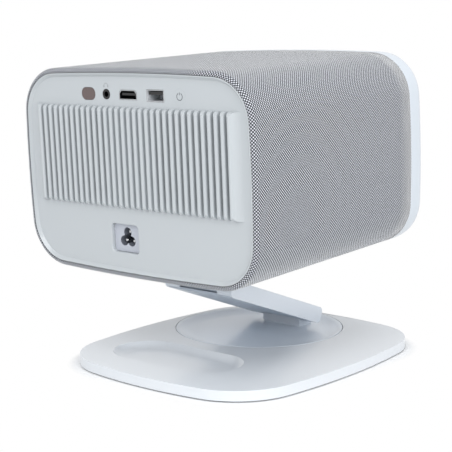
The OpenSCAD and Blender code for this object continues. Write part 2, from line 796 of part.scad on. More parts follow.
module rear_cover() color([0.80, 0.82, 0.84]) at_head() upright() difference() {
    union() {
        cover_tub();
        ribs();
        // wall round the inlet recess
        translate([inlet_x, -inlet_z, face_drop]) linear_extrude(inlet_recess + 5) inlet_outline(1.5);
        // collar that guides the power button
        at_port(power_x) cylinder(d = power_d + 4, h = 6);
    }
    translate([inlet_x, -inlet_z, 0]) linear_extrude(inlet_recess + 12) inlet_outline();
    at_port(ir_x) translate([0, 0, -cut]) linear_extrude(cover_t + 2 * cut)
        rounded(ir_w + 2 * seat_c, ir_h + 2 * seat_c, ir_r + seat_c);
    at_port(jack_x) translate([0, 0, -cut]) cylinder(d = jack_d + 2 * seat_c, h = cover_t + 2 * cut);
    at_port(hdmi_x) translate([0, 0, -cut]) linear_extrude(cover_t + 2 * cut) hdmi_shape(-seat_c);
    at_port(usb_x) translate([0, 0, -cut]) linear_extrude(cover_t + 2 * cut)
        square([usb_w + 2 * seat_c, usb_h + 2 * seat_c], center = true);
    at_port(power_x) translate([0, 0, -cut]) cylinder(r = power_d / 2 + run_c, h = 8);
}

// Tub of the bezel with the tongue that slips inside the housing.
module bezel_tub() {
    back = housing_in + seat_c;
    difference() {
        rounded_front(0, bezel_d, bezel_d, bezel_edge_r);
        rounded_front(bezel_t, bezel_d - bezel_t, bezel_d, bezel_edge_r - bezel_t);
    }
    translate([0, 0, -4]) linear_extrude(5.6) difference() {
        body_outline(back);
        body_outline(back + 1.6);
    }
    linear_extrude(1.6) difference() {
        body_outline(overlap);
        body_outline(back + overlap);
    }
}

module slot_hole(grow = 0) {
    rounded(slot_w + 2 * grow, slot_h + 2 * grow, 1 + grow);
}

eject_x = slot_w / 2 + 14;
eject_d = 6;
lens_hole_d = lens_d + 6;
mount_t = 3;

module front_bezel() color([0.88, 0.91, 0.96]) at_head() upright(front_y) difference() {
    union() {
        bezel_tub();
        translate([0, slot_z, bezel_d - 4.8]) linear_extrude(4) slot_hole(2);
        translate([0, lens_z, bezel_d - bezel_t - window_t]) linear_extrude(window_t + cut)
            rounded(window_w + 6, window_h + 6, window_r + 3);
        translate([eject_x, slot_z, bezel_d - 6]) cylinder(d = eject_d + 4, h = 5);
    }
    translate([0, lens_z, bezel_d - window_t - seat_c]) linear_extrude(window_t + cut)
        rounded(window_w + 2 * seat_c, window_h + 2 * seat_c, window_r + seat_c);
    translate([0, lens_z, 0]) cylinder(d = lens_hole_d, h = bezel_d + cut);
    translate([0, slot_z, 0]) linear_extrude(bezel_d + cut) slot_hole();
    translate([eject_x, slot_z, bezel_d - 8]) cylinder(r = eject_d / 2 + run_c, h = 10);
}

module front_window() color([0.05, 0.05, 0.06]) at_head() upright(front_y)
    translate([0, lens_z, bezel_d - window_t - seat_c]) difference() {
        linear_extrude(window_t) rounded(window_w, window_h, window_r);
        translate([0, 0, -cut]) cylinder(d = lens_hole_d, h = 3 * cut + window_t);
    }

// ------------------------------------------------------------------- optics

module at_lens() {
    at_head() translate([0, 0, lens_z]) rotate([90, 0, 0]) children();
}

nose_to_engine = engine_front - nose_y;
barrel_back = -engine_front + 3;
barrel_l = nose_to_engine - 6;
glass_edge = 1.2;
lens_seat = 7;

module lens_mount() color([0.14, 0.14, 0.15]) at_lens() difference() {
    translate([0, 0, -engine_front]) union() {
        cylinder(d = lens_d + 2 * mount_t, h = bezel_d);
        cylinder(d = lens_d + 2 * mount_t + 12, h = 2.5);
    }
    translate([0, 0, -engine_front - cut]) cylinder(r = lens_d / 2 + run_c, h = 60);
}

module lens_barrel() color([0.10, 0.10, 0.11]) at_lens() translate([0, 0, barrel_back]) difference() {
    cylinder(d = lens_d, h = barrel_l);
    translate([0, 0, -cut]) cylinder(d = lens_d - 4 * lens_wall, h = barrel_l + 2 * cut);
    translate([0, 0, barrel_l - lens_seat]) cylinder(d = lens_d - 2 * lens_wall, h = lens_seat + cut);
    translate([0, 0, barrel_l - 2]) cylinder(d1 = lens_d - 2 * lens_wall, d2 = lens_d - 2, h = 2.1);
}

module lens_glass() color([0.35, 0.45, 0.55]) at_lens()
    translate([0, 0, barrel_back + barrel_l - lens_seat]) {
    glass_r = lens_d / 2 - lens_wall - held_c;
    bulge_r = glass_r * 2.2;
    intersection() {
        cylinder(r = glass_r, h = 12);
        translate([0, 0, glass_edge - sqrt(bulge_r * bulge_r - glass_r * glass_r)]) sphere(bulge_r);
    }
}

// Block behind the optical engine, and the heatsink on it.
block_w = 40;
block_t = 6;
block_dx = 14;
sink_w = 48;
sink_t = 3;
sink_dx = 10;
fin_l = 22;
fin_t = 1.5;
fin_count = 11;

module optical_engine() color([0.20, 0.21, 0.23]) at_head() union() {
    translate([-engine_w / 2, engine_front, deck_z])
        cube([engine_w, engine_back - engine_front, engine_top - deck_z]);
    translate([-engine_w / 2 + block_dx, engine_back, lens_z - block_w / 2])
        cube([block_w, block_t, block_w]);
}

module heatsink() color([0.70, 0.72, 0.74]) at_head()
    translate([-engine_w / 2 + sink_dx, engine_back + block_t, deck_z]) {
        sink_h = engine_top - deck_z - block_t;
        cube([sink_w, sink_t, sink_h]);
        for (k = [0 : fin_count - 1]) translate([k * (sink_w - fin_t) / (fin_count - 1), 0, 0])
            cube([fin_t, fin_l, sink_h]);
    }

module at_fan() {
    at_head() translate([fan_x, inner_y, fan_z]) rotate([90, 0, 0]) children();
}

fan_bore = fan_size - 3.6;
fan_hub = 22;
fan_pin_d = 3;

module fan_frame() color([0.12, 0.12, 0.13]) at_fan() {
    difference() {
        linear_extrude(fan_d) rounded(fan_size, fan_size, 3);
        translate([0, 0, -cut]) cylinder(d = fan_bore, h = fan_d + 2 * cut);
        at_corners(fan_size / 2 - 4, fan_size / 2 - 4) translate([0, 0, -cut])
            cylinder(d = 3.4, h = fan_d + 2 * cut);
    }
    translate([0, 0, fan_d - 2]) cylinder(d = fan_hub, h = 2);
    for (a = [45 : 90 : 315]) rotate(a) translate([fan_hub / 2 - 1, -1.5, fan_d - 2])
        cube([(fan_bore - fan_hub) / 2 + 1.6, 3, 2]);
    translate([0, 0, 3.5]) cylinder(d = fan_pin_d, h = fan_d - 4);
}

module fan_rotor() color([0.18, 0.18, 0.20]) at_fan() translate([0, 0, 1]) difference() {
    union() {
        cylinder(d = fan_hub, h = fan_d - 3.6);
        intersection() {
            difference() {
                cylinder(d = fan_bore - 1.6, h = fan_d - 3.6);
                translate([0, 0, -cut]) cylinder(d = fan_hub - 1, h = fan_d);
            }
            for (k = [0 : fan_blades - 1]) rotate(k * 360 / fan_blades)
                translate([0, 0, (fan_d - 3.6) / 2]) rotate([48, 0, 0])
                    translate([fan_hub / 2 - 1, -fan_d, -0.6]) cube([fan_bore / 2, 2 * fan_d, 1.2]);
        }
    }
    translate([0, 0, 2]) cylinder(r = fan_pin_d / 2 + run_c, h = fan_d);
}

// ------------------------------------------------------------------- inside

// Plate that the optics and the boards stand on.
deck_past = 8;
deck_front = front_y + 6;
deck_back = rear_y - 34;

module frame_plate() color([0.58, 0.60, 0.62]) at_head() difference() {
    translate([-post_x - deck_past, deck_front, frame_z])
        cube([2 * (post_x + deck_past), deck_back - deck_front, frame_t]);
    post_places() translate([0, 0, frame_z - cut]) cylinder(d = screw_d + 0.4, h = frame_t + 2 * cut);
}

// Main board on its standoffs, with its chip, radio and two capacitors.
board_w = 128;
board_past = 20;
standoff_h = 4;
standoff_d = 6;
standoff_x = 44;
chip_w = 32;
chip_h = 2.4;
chip_y = -22;
radio_w = 14;
radio_l = 22;
radio_h = 1.4;
radio_x = 26;
radio_y = -18;
cap_d = 10;
cap_h = 9;
cap_x = 52;
cap_y = -14;
cap_pitch = 18;

module main_board() color([0.10, 0.35, 0.18]) at_head() translate([0, 0, engine_top]) {
    translate([-board_w / 2, engine_front + standoff_h, standoff_h])
        cube([board_w, engine_back - engine_front + board_past, board_t]);
    for (s = [-1, 1], y = [engine_front + 2 * standoff_d, engine_back - standoff_d])
        translate([s * standoff_x, y, 0]) cylinder(d = standoff_d, h = standoff_h + 0.2);
    translate([-chip_w / 2, chip_y, standoff_h]) cube([chip_w, chip_w, board_t + chip_h]);
    translate([radio_x, radio_y, standoff_h]) cube([radio_w, radio_l, board_t + radio_h]);
    for (k = [0, 1]) translate([-cap_x, cap_y + k * cap_pitch, standoff_h])
        cylinder(d = cap_d, h = board_t + cap_h);
}

// Upright board behind the sockets, with the strip that joins it to the main board.
board_edge = 10;
port_board_h = 18;
strip_w = 40;
strip_t = 3;

module port_board() color([0.10, 0.35, 0.18]) at_head() {
    translate([power_x - board_edge, port_board_y - board_t, engine_top + standoff_h])
        cube([ir_x - power_x + 2 * board_edge, board_t, port_board_h]);
    translate([-strip_w / 2, engine_back + board_past, engine_top + standoff_h + board_t])
        cube([strip_w, port_board_y - engine_back - board_past, strip_t]);
}

// Power board beside the optical engine.
supply_past = 6;
supply_gap = 1;
supply_w = post_x + supply_past - engine_w / 2 - supply_gap;
supply_l = 46;
supply_y = 2;
coil_edge = 2.5;
coil_l = 18;
coil_h = 22;
bulk_d = 12;
bulk_h = 24;
bulk_y = 33;

module power_board() color([0.55, 0.42, 0.20]) at_head()
    translate([-post_x - supply_past, supply_y, deck_z]) {
        cube([supply_w, supply_l, board_t]);
        translate([coil_edge, 2 * coil_edge, 0]) cube([supply_w - 2 * coil_edge, coil_l, coil_h]);
        translate([supply_w / 2, bulk_y, 0]) cylinder(d = bulk_d, h = bulk_h);
    }

// Loudspeaker about its own axis: flange, cone, basket and magnet.
module speaker() {
    rotate_extrude() difference() {
        polygon([[0, -20], [16, -20], [16, -12], [speaker_d / 2 - 3, -2], [speaker_d / 2, -2],
                 [speaker_d / 2, 0], [speaker_d / 2 - 4, 0], [9, -7], [0, -5]]);
    }
}

module left_speaker() color([0.15, 0.15, 0.16]) at_head()
    translate([speaker_face, speaker_y, speaker_z]) rotate([0, 90, 0]) speaker();

module right_speaker() color([0.15, 0.15, 0.16]) at_head()
    translate([-speaker_face, speaker_y, speaker_z]) rotate([0, -90, 0]) speaker();

// ------------------------------------------------------------------ sockets

module at_face(x) {
    at_head() translate([x, face_y, port_z]) rotate([90, 0, 0]) children();
}

module remote_window() color([0.38, 0.28, 0.27]) at_face(ir_x) {
    linear_extrude(cover_t) rounded(ir_w, ir_h, ir_r);
    translate([0, 0, cover_t]) linear_extrude(port_d - cover_t) rounded(ir_w - 4, ir_h - 3, 2);
}

module headphone_jack() color([0.06, 0.06, 0.06]) at_face(jack_x) difference() {
    union() {
        cylinder(d = jack_d, h = cover_t + 0.6);
        translate([-4, -3.4, cover_t + 0.6]) cube([8, 6.8, port_d - cover_t - 0.6]);
    }
    translate([0, 0, -cut]) cylinder(d = jack_bore_d, h = port_d - 1 + cut);
}

module hdmi_port() color([0.08, 0.08, 0.09]) at_face(hdmi_x) {
    difference() {
        linear_extrude(port_d) hdmi_shape();
        translate([0, 0, -cut]) linear_extrude(port_d - 2 + cut) hdmi_shape(socket_t);
    }
    translate([-hdmi_w / 2 + 1.6, -0.4, 1]) cube([hdmi_w - 3.2, 1.5, port_d - 1]);
}

module usb_port() color([0.70, 0.72, 0.73]) at_face(usb_x) {
    difference() {
        linear_extrude(port_d) square([usb_w, usb_h], center = true);
        translate([0, 0, -cut]) linear_extrude(port_d - 2 + cut)
            square([usb_w - 2 * socket_t, usb_h - 2 * socket_t], center = true);
    }
    translate([-usb_w / 2 + 1.2, 0.6, 1]) cube([usb_w - 2.4, 1.9, port_d - 1]);
}

module power_button() color([0.80, 0.82, 0.84]) at_face(power_x) {
    cylinder(d = power_d, h = 5);
    cylinder(d = 3, h = port_d - button_travel - seat_c);
}

module clover() {
    for (a = [90, 210, 330]) rotate(a) translate([3.7, 0]) circle(3.3);
    circle(3.4);
}

inlet_face = face_y - inlet_recess;
inlet_body_d = 17;

module at_inlet() {
    at_head() translate([inlet_x, inlet_face, -inlet_z]) rotate([90, 0, 0]) children();
}

module power_inlet() color([0.74, 0.78, 0.84]) at_inlet() difference() {
    linear_extrude(inlet_body_d) inlet_outline(-seat_c);
    translate([0, 0, -cut]) linear_extrude(12 + cut) clover();
    for (a = [90, 210, 330]) rotate(a) translate([3.9, 0, 0]) cylinder(r = inlet_pin_d / 2 + held_c, h = 15);
}

module inlet_pins() color([0.85, 0.86, 0.88]) at_inlet()
    for (a = [90, 210, 330]) rotate(a) translate([3.9, 0, 2.2]) {
        cylinder(d1 = inlet_pin_d - 0.8, d2 = inlet_pin_d, h = 0.6);
        translate([0, 0, 0.6]) cylinder(d = inlet_pin_d, h = 12);
    }

// -------------------------------------------------------------- disc player

module at_player() {
    at_head() translate([0, player_front, player_z]) children();
}

disc_in_y = disc_y - player_front;
hub_top = player_h - player_t - slot_h - 1.2;

module player_case() color([0.66, 0.68, 0.70]) at_player() difference() {
    translate([-player_w / 2, 0, 0]) cube([player_w, player_l, player_h - player_t]);
    translate([-player_w / 2 + player_t, player_t, player_t])
        cube([player_w - 2 * player_t, player_l - 2 * player_t, player_h]);
    translate([-slot_w / 2, -cut, slot_z - slot_h / 2 - player_z]) cube([slot_w, 3 * cut, slot_h + cut]);
}

module player_lid() color([0.66, 0.68, 0.70]) at_player() difference() {
    translate([-player_w / 2, 0, player_h - player_t]) cube([player_w, player_l, player_t]);
    translate([0, disc_in_y, player_h - player_t / 2]) difference() {
        cylinder(d = 66, h = player_t);
        translate([0, 0, -cut]) cylinder(d = 60, h = 2 * player_t + cut);
    }
}

spindle_pin_d = 2;

module spindle_motor() color([0.45, 0.46, 0.48]) at_player() translate([0, disc_in_y, player_t]) {
    cylinder(d = spindle_d - 3, h = 2);
    cylinder(d = spindle_pin_d, h = hub_top - player_t - 1.2);
}

module disc_spindle() color([0.25, 0.25, 0.27]) at_player()
    translate([0, disc_in_y, player_t + 2.4]) difference() {
        union() {
            cylinder(d = spindle_d, h = hub_top - player_t - 2.4 - 2);
            cylinder(d1 = 14.8, d2 = 13.4, h = hub_top - player_t - 2.4);
        }
        translate([0, 0, -cut]) cylinder(r = spindle_pin_d / 2 + run_c, h = hub_top - player_t - 2.4);
    }

rod_x = 19;
rod_z = 5;
sled_l = 16;
sled_y = disc_in_y + spindle_d / 2 + 1 + sled_l / 2;
rod_end = player_l - player_t;

module guide_rods() color([0.80, 0.81, 0.83]) at_player() for (s = [-1, 1])
    translate([s * rod_x, disc_in_y + spindle_d / 2 - 4, player_t + rod_z]) {
        rotate([-90, 0, 0]) cylinder(d = rod_d, h = rod_end - disc_in_y - spindle_d / 2 + 4);
        translate([-2, -4, -rod_z]) cube([4, 4, rod_z + rod_d / 2]);
    }

module pickup_sled() color([0.20, 0.22, 0.26]) at_player()
    translate([0, sled_y, player_t + rod_z]) difference() {
    union() {
        translate([-rod_x - 3.4, -sled_l / 2, -2.6]) cube([2 * rod_x + 6.8, sled_l, 5]);
        cylinder(d = 9, h = 3.4);
    }
    for (s = [-1, 1]) translate([s * rod_x, -sled_l, 0]) rotate([-90, 0, 0])
        cylinder(r = rod_d / 2 + run_c, h = 2 * sled_l);
    translate([0, 0, 2]) cylinder(d = 6, h = 3);
}

roller_y = 9;
roller_z = hub_top - roller_d / 2 - 0.4;

module feed_roller() color([0.14, 0.14, 0.14]) at_player() translate([0, roller_y, roller_z]) {
    along_x(roller_d, slot_w - 10);
    along_x(1.6, player_w - 2 * player_t - 0.6);
}

module eject_button() color([0.88, 0.91, 0.96]) at_head() upright(front_y)
    translate([eject_x, slot_z, bezel_d - 8]) {
        cylinder(d = eject_d, h = 8);
        translate([0, 0, -1.6]) cylinder(d = eject_d + 3, h = 1.6);
    }

base_shell();
ballast_plate();
base_feet();
base_screws();
glide_ring();
turntable();
pivot_retainer();
lower_bracket();
bracket_bolts();
lower_pin();
arm_core();
arm_shell();
arm_cover();
upper_pin();
head_bracket();
head_backing();
head_screws();
housing();
fabric_sleeve();
rear_cover();
front_bezel();
front_window();
lens_mount();
lens_barrel();
lens_glass();
optical_engine();
heatsink();
fan_frame();
fan_rotor();
frame_plate();
main_board();
port_board();
power_board();
left_speaker();
right_speaker();
remote_window();
headphone_jack();
hdmi_port();
usb_port();
power_button();
power_inlet();
inlet_pins();
player_case();
player_lid();
spindle_motor();
disc_spindle();
pickup_sled();
guide_rods();
feed_roller();
eject_button();
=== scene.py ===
# %% [markdown]
# # A desk projector with a disc player, seen from behind
#
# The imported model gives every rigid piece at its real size. This script dresses it: it
# remakes the large soft-cornered shells with smooth surfaces, gives every piece a finish,
# and sets up the light and the camera. Everything is in metres, with the table at Z = 0.

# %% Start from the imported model
import json
from math import atan2, cos, hypot, pi, radians, sin, sqrt

import bmesh
import bpy
from mathutils import Matrix, Vector

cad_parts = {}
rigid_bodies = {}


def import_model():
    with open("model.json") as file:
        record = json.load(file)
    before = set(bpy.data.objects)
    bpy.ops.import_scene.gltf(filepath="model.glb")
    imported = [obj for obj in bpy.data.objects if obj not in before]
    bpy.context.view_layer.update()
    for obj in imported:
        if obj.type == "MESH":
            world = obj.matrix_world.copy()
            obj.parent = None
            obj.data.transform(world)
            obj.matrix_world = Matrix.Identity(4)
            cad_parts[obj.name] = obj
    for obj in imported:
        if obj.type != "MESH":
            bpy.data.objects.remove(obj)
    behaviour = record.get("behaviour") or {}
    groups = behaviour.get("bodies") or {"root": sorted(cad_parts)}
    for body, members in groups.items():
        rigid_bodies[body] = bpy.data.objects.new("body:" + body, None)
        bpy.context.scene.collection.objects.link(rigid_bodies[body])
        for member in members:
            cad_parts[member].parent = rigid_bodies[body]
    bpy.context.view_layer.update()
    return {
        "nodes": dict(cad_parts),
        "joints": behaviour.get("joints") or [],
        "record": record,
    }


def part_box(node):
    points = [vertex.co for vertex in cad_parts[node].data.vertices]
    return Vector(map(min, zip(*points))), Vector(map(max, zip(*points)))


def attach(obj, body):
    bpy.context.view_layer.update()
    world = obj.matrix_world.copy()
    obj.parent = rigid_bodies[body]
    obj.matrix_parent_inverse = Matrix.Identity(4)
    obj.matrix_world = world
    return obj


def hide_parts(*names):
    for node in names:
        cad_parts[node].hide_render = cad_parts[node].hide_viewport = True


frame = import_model()
nodes = frame["nodes"]
body_of = {n: b for b, held in frame["record"]["behaviour"]["bodies"].items() for n in held}
joints = {j["name"]: j for j in frame["joints"]}
MM = 0.001
print("pieces in the packed model:", len(nodes))

# %% [markdown]
# ## Where the head stands
#
# The head leans back a little, so its own directions differ from the table's. Two joints
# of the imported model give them: the disc's spindle points up through the head and the fan
# points out of its back. Positions inside the head can then be given in the head's own
# millimetres, which is how such a product is drawn.

# %% Directions and centre of the head
sleeve_wide, sleeve_tall, sleeve_deep = 198.2, 134.0, 168.0
tilt_back, tilt_down = 21.2, 83.6  # where the tilt axis lies from the head's centre
head_up = Vector(joints["disc_spin"]["axis"])
head_back = Vector(joints["fan_spin"]["axis"])
head_side = Vector((1, 0, 0))
tilt_axis = Vector(joints["tilt_hinge"]["pos_m"])
head_centre = tilt_axis + (head_up * tilt_down - head_back * tilt_back) * MM
head_frame = Matrix((head_side, head_back, head_up)).transposed().to_4x4()
head_frame.translation = head_centre
to_head = head_frame.inverted()
print("centre of the head:", [round(v / MM, 2) for v in head_centre])


# %% Between the head's millimetres and the model's metres
def head_mm(point):
    """A point of the model, given in the head's own millimetres."""
    return (to_head @ point) / MM


def into_model(bm):
    """Take a bmesh from the head's own millimetres to its place in the model."""
    bmesh.ops.scale(bm, vec=(MM, MM, MM), verts=bm.verts)
    bmesh.ops.transform(bm, matrix=head_frame, verts=bm.verts)


print("the tilt axis, seen from the head:", [round(v, 1) for v in head_mm(tilt_axis)])

# %% [markdown]
# ## The outline of the head
#
# Seen from the front, with +X to the right, the head is a rectangle whose four sides
# bulge, joined by corner arcs. Turning a profile about the centre of each arc in turn
# draws a shell that follows this outline with perfect tangents, which a bevelled box can't
# do. Each arc is one spin, and the spins are merged where they meet.

# %% Centres and angles of the eight arcs
side_r, top_r, corner_r = 800.0, 2040.0, 30.4
side_c, top_c = sleeve_wide / 2 - side_r, sleeve_tall / 2 - top_r


def corner_centre():
    """Centre of the upper right corner arc, tangent to the side's and the top's arcs."""
    side = Vector((side_c, 0))
    top = Vector((0, top_c))
    away = top - side
    d = away.length
    u = away / d
    a = ((side_r - corner_r) ** 2 - (top_r - corner_r) ** 2 + d * d) / (2 * d)
    k = sqrt((side_r - corner_r) ** 2 - a * a)
    return side + a * u + k * Vector((-u.y, u.x))


cx, cy = corner_centre()
side_half = atan2(cy, cx - side_c)
top_half = atan2(cx, cy - top_c)
print("corner centre: %.2f, %.2f mm" % (cx, cy))

# %% The arcs in order, from the lower end of the right side
side_steps, top_steps, corner_steps = 6, 8, 20
side_arc = (2 * side_half, side_steps, side_r)
top_arc = (2 * top_half, top_steps, top_r)
corner_arc = (pi / 2 - side_half - top_half, corner_steps, corner_r)
ARCS = [
    ((side_c, 0), *side_arc), ((cx, cy), *corner_arc),
    ((0, top_c), *top_arc), ((-cx, cy), *corner_arc),
    ((-side_c, 0), *side_arc), ((-cx, -cy), *corner_arc),
    ((0, -top_c), *top_arc), ((cx, -cy), *corner_arc),
]
around = sum(turn * radius for _, turn, _, radius in ARCS)
print("the way round the outline: %.1f mm" % around)


def arc_start(centre, radius):
    """Angle at which the arc about this centre begins."""
    starts = {side_r: 0.0, top_r: pi / 2}
    if radius in starts:
        half = side_half if radius == side_r else top_half
        base = starts[radius] + (0 if centre[0] + centre[1] < 0 else pi)
        return base - half
    quarter = {(1, 1): 0, (-1, 1): 1, (-1, -1): 2, (1, -1): 3}
    q = quarter[(1 if centre[0] > 0 else -1, 1 if centre[1] > 0 else -1)]
    lead = side_half if q % 2 == 0 else top_half
    return q * pi / 2 + lead


# %% [markdown]
# ## Sweeping a wall round the outline
#
# A profile is a closed chain of points. Each gives how far inside the outline it lies and
# how far back in the head. The chain is drawn once at the lower end of the right side and
# spun through the eight arcs. The distance travelled round the outline and along the
# profile is kept with each point and becomes a UV map in millimetres, so that a weave can
# follow the surface round every corner.

# %% From a bmesh to an object, and a rounded stretch of a profile
def finish_mesh(bm, name, smooth=True):
    """Turn a bmesh into an object at the origin."""
    mesh = bpy.data.meshes.new(name)
    for face in bm.faces:
        face.smooth = smooth
    bm.to_mesh(mesh)
    bm.free()
    piece = bpy.data.objects.new(name, mesh)
    bpy.context.scene.collection.objects.link(piece)
    return piece


def rounding(inset, y, radius, start, end, steps):
    """Points on an arc of a profile. Zero degrees points outward and 90 to the back."""
    return [
        (inset - radius * cos(radians(start + (end - start) * i / steps)),
         y + radius * sin(radians(start + (end - start) * i / steps)))
        for i in range(steps + 1)]


# %% The profile's chain at its first place
def first_chain(bm, travel, profile):
    """Points and edges of a closed profile, each point with its way along the profile."""
    foot = Vector((side_c + side_r * cos(side_half), -side_r * sin(side_half)))
    outward = Vector((cos(side_half), -sin(side_half)))
    chain, length, last = [], 0.0, profile[0]
    for inset, y in profile:
        length += hypot(inset - last[0], y - last[1])
        last = (inset, y)
        spot = foot - outward * inset
        vert = bm.verts.new((spot.x, y, spot.y))
        vert[travel] = (0, length, 0)
        chain.append(vert)
    return chain + [bm.edges.new(pair) for pair in zip(chain, chain[1:] + chain[:1])]


def lay_uvs(bm, travel):
    """The travelled millimetres as a UV map, without a jump back where the way round ends."""
    uv = bm.loops.layers.uv.new("travel_mm")
    for face in bm.faces:
        furthest = max(loop.vert[travel][0] for loop in face.loops)
        for loop in face.loops:
            u, v = loop.vert[travel][0], loop.vert[travel][1]
            loop[uv].uv = (u + around if furthest - u > around / 2 else u, v)


# %% The wall itself
same_point = 0.002  # points closer than this are one point, in millimetres


def swept_wall(name, profile):
    """A wall along a closed profile of (inset, y) points in millimetres, all round the head."""
    bm = bmesh.new()
    travel = bm.verts.layers.float_vector.new("travel")
    section, way = first_chain(bm, travel, profile), 0.0
    for centre, turn, steps, radius in ARCS:
        before = set(bm.verts)
        out = bmesh.ops.spin(
            bm, geom=section, cent=(centre[0], 0, centre[1]), axis=(0, -1, 0),
            angle=turn, steps=steps, use_merge=False, use_normal_flip=False, use_duplicate=False)
        section, first = out["geom_last"], arc_start(centre, radius)
        for vert in bm.verts:
            if vert not in before:
                angle = atan2(vert.co.z - centre[1], vert.co.x - centre[0])
                vert[travel] = (way + ((angle - first) % (2 * pi)) * radius, vert[travel][1], 0)
        way += turn * radius
    lay_uvs(bm, travel)
    bmesh.ops.remove_doubles(bm, verts=bm.verts, dist=same_point)
    bmesh.ops.recalc_face_normals(bm, faces=bm.faces)
    into_model(bm)
    return finish_mesh(bm, name)


# %% [markdown]
# ## The cloth of the sleeve
#
# On the real body a stiff cloth is stretched round the housing and rolled over its rear
# edge, which makes that edge round and soft. Its profile is one long line outside, a
# quarter turn for the roll, and the same again inside, one cloth's thickness away. A cloth
# simulation would only add creases that a stretched cloth doesn't have.

# %% The fabric sleeve
rear, front = sleeve_deep / 2, -sleeve_deep / 2
skin, roll = 1.2, 3.0
length_steps, roll_steps, inner_steps = 12, 8, 6
straight = rear - roll - front
sleeve_profile = (
    [(0, front + k * straight / length_steps) for k in range(length_steps)]
    + rounding(roll, rear - roll, roll, 0, 90, roll_steps)
    + rounding(roll, rear - roll, roll - skin, 90, 0, inner_steps)
    + [(skin, front)])
sleeve = swept_wall("sleeve_cloth", sleeve_profile)
print("sleeve faces, still whole:", len(sleeve.data.polygons))

# %% [markdown]
# ## The opening for the stand's bracket
#
# Underneath, the head's bracket seats in an opening that is cut out of the cloth. Deleting
# faces would leave a stepped edge. A rounded block taken away by a Boolean gives the clean
# edge of a die cut and keeps the UV map. Its result becomes the sleeve's own mesh, so no
# live modifier needs the block any longer.

# %% Cutting the opening
seat_wide, seat_long, seat_deep = 60.4, 44.4, 30.0
seat_corner, seat_steps = 6.2, 6
bm = bmesh.new()
bmesh.ops.create_cube(bm, size=1.0)
bmesh.ops.scale(bm, vec=(seat_wide, seat_long, seat_deep), verts=bm.verts)
upright = [e for e in bm.edges if abs(e.verts[0].co.z - e.verts[1].co.z) > seat_deep / 2]
bmesh.ops.bevel(
    bm, geom=upright, offset=seat_corner, affect="EDGES", segments=seat_steps, profile=0.5,
    material=-1)
bmesh.ops.translate(bm, vec=(0, tilt_back, -sleeve_tall / 2), verts=bm.verts)
into_model(bm)
cutter = finish_mesh(bm, "bracket_seat")
opening = sleeve.modifiers.new("bracket_opening", "BOOLEAN")
opening.operation, opening.solver, opening.object = "DIFFERENCE", "EXACT", cutter
whole = sleeve.data
view_layer_state = bpy.context.evaluated_depsgraph_get()
sleeve.data = bpy.data.meshes.new_from_object(sleeve.evaluated_get(view_layer_state))
sleeve.modifiers.clear()
bpy.data.meshes.remove(whole)
bpy.data.objects.remove(cutter)
print("sleeve faces:", len(sleeve.data.polygons))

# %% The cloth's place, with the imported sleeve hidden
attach(sleeve, "head")
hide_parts("fabric_sleeve")

# %% [markdown]
# ## The dark seam between cloth and rear cover
#
# A thin dark line runs round the rear cover, where the cloth's roll meets it. It is painted
# shade: a dark strip that stands back from both, swept round the same outline a little
# further in, where the gap between them lies in shadow.

# %% The seam's dark strip of painted shade
seam_outer, seam_lip, seam_inner = 2.7, 2.95, 3.5
seam_front, seam_back = rear - 2.6, rear - 0.3
seam_shade_profile = [
    (seam_outer, seam_front), (seam_lip, seam_back), (seam_inner, seam_back),
    (seam_inner, seam_front)]
# A dark strip that paints the shade in the gap between cloth and cover.
seam_shade_strip = swept_wall("painted_seam_shade", seam_shade_profile)
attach(seam_shade_strip, "head")
print("gasket faces:", len(seam_shade_strip.data.polygons))

# %% [markdown]
# ## Smooth copies of the moulded pieces
#
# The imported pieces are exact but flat-shaded. A copy of a piece has its points merged, its
# coplanar triangles joined and its gentle edges shaded round. Moulded plastic never has a
# knife edge either, so chosen edges get a small bevel, which is what catches the light on
# the real base and arm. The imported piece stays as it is, hidden behind its copy.

# %% Copying, softening and standing in
one_point = 1e-6  # points closer than this are one point, in metres
flat_angle = radians(0.3)


def copied(name):
    """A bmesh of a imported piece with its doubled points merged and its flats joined."""
    bm = bmesh.new()
    bm.from_mesh(nodes[name].data)
    bmesh.ops.remove_doubles(bm, verts=bm.verts, dist=one_point)
    bmesh.ops.dissolve_limit(
        bm, angle_limit=flat_angle, use_dissolve_boundaries=False, verts=bm.verts,
        edges=bm.edges, delimit=set())
    bmesh.ops.recalc_face_normals(bm, faces=bm.faces)
    return bm


def soften(bm, width, choose, segments=2, least=40):
    """Bevel the outer edges that turn by more than the least angle and that choose() takes."""
    edges = [
        e for e in bm.edges
        if len(e.link_faces) == 2 and e.is_convex and e.calc_face_angle(0) > radians(least)
        and choose((e.verts[0].co + e.verts[1].co) / 2)]
    bmesh.ops.bevel(
        bm, geom=edges, offset=width * MM, offset_type="OFFSET", segments=segments, profile=0.5,
        affect="EDGES", material=-1, clamp_overlap=True)


def stand_in(bm, name, label, angle=34):
    """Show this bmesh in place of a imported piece, shaded round below the given angle."""
    for edge in bm.edges:
        edge.smooth = len(edge.link_faces) == 2 and edge.calc_face_angle(0) < radians(angle)
    piece = finish_mesh(bm, label)
    even = piece.modifiers.new("even_shading", "WEIGHTED_NORMAL")
    even.keep_sharp = True
    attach(piece, body_of[name])
    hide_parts(name)
    return piece


# %% [markdown]
# ## The base, the swivel disc and the arm
#
# The base's top edge and the arm's edges are rounded so that a light line runs along them.
# Where disc and base meet, the edges stay crisper, so that the gap between them reads as a
# thin ring. The distance from the swivel axis tells those two kinds of edge apart.

# %% Edges of the base, disc and arm
edge_slack = 0.1  # an edge this near a plane, in millimetres, lies on it
near_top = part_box("base_shell")[1].z - edge_slack * MM
turn_place = Vector(joints["swivel"]["pos_m"])
hole_r = 60.5  # just outside the base's round hole
disc_rim_r = 58.0  # just inside the disc's rim
ring_bevel, plate_bevel, arm_bevel = 0.25, 0.6, 0.5


def from_turn(point):
    """Distance from the swivel axis in millimetres."""
    return hypot(point.x - turn_place.x, point.y - turn_place.y) / MM


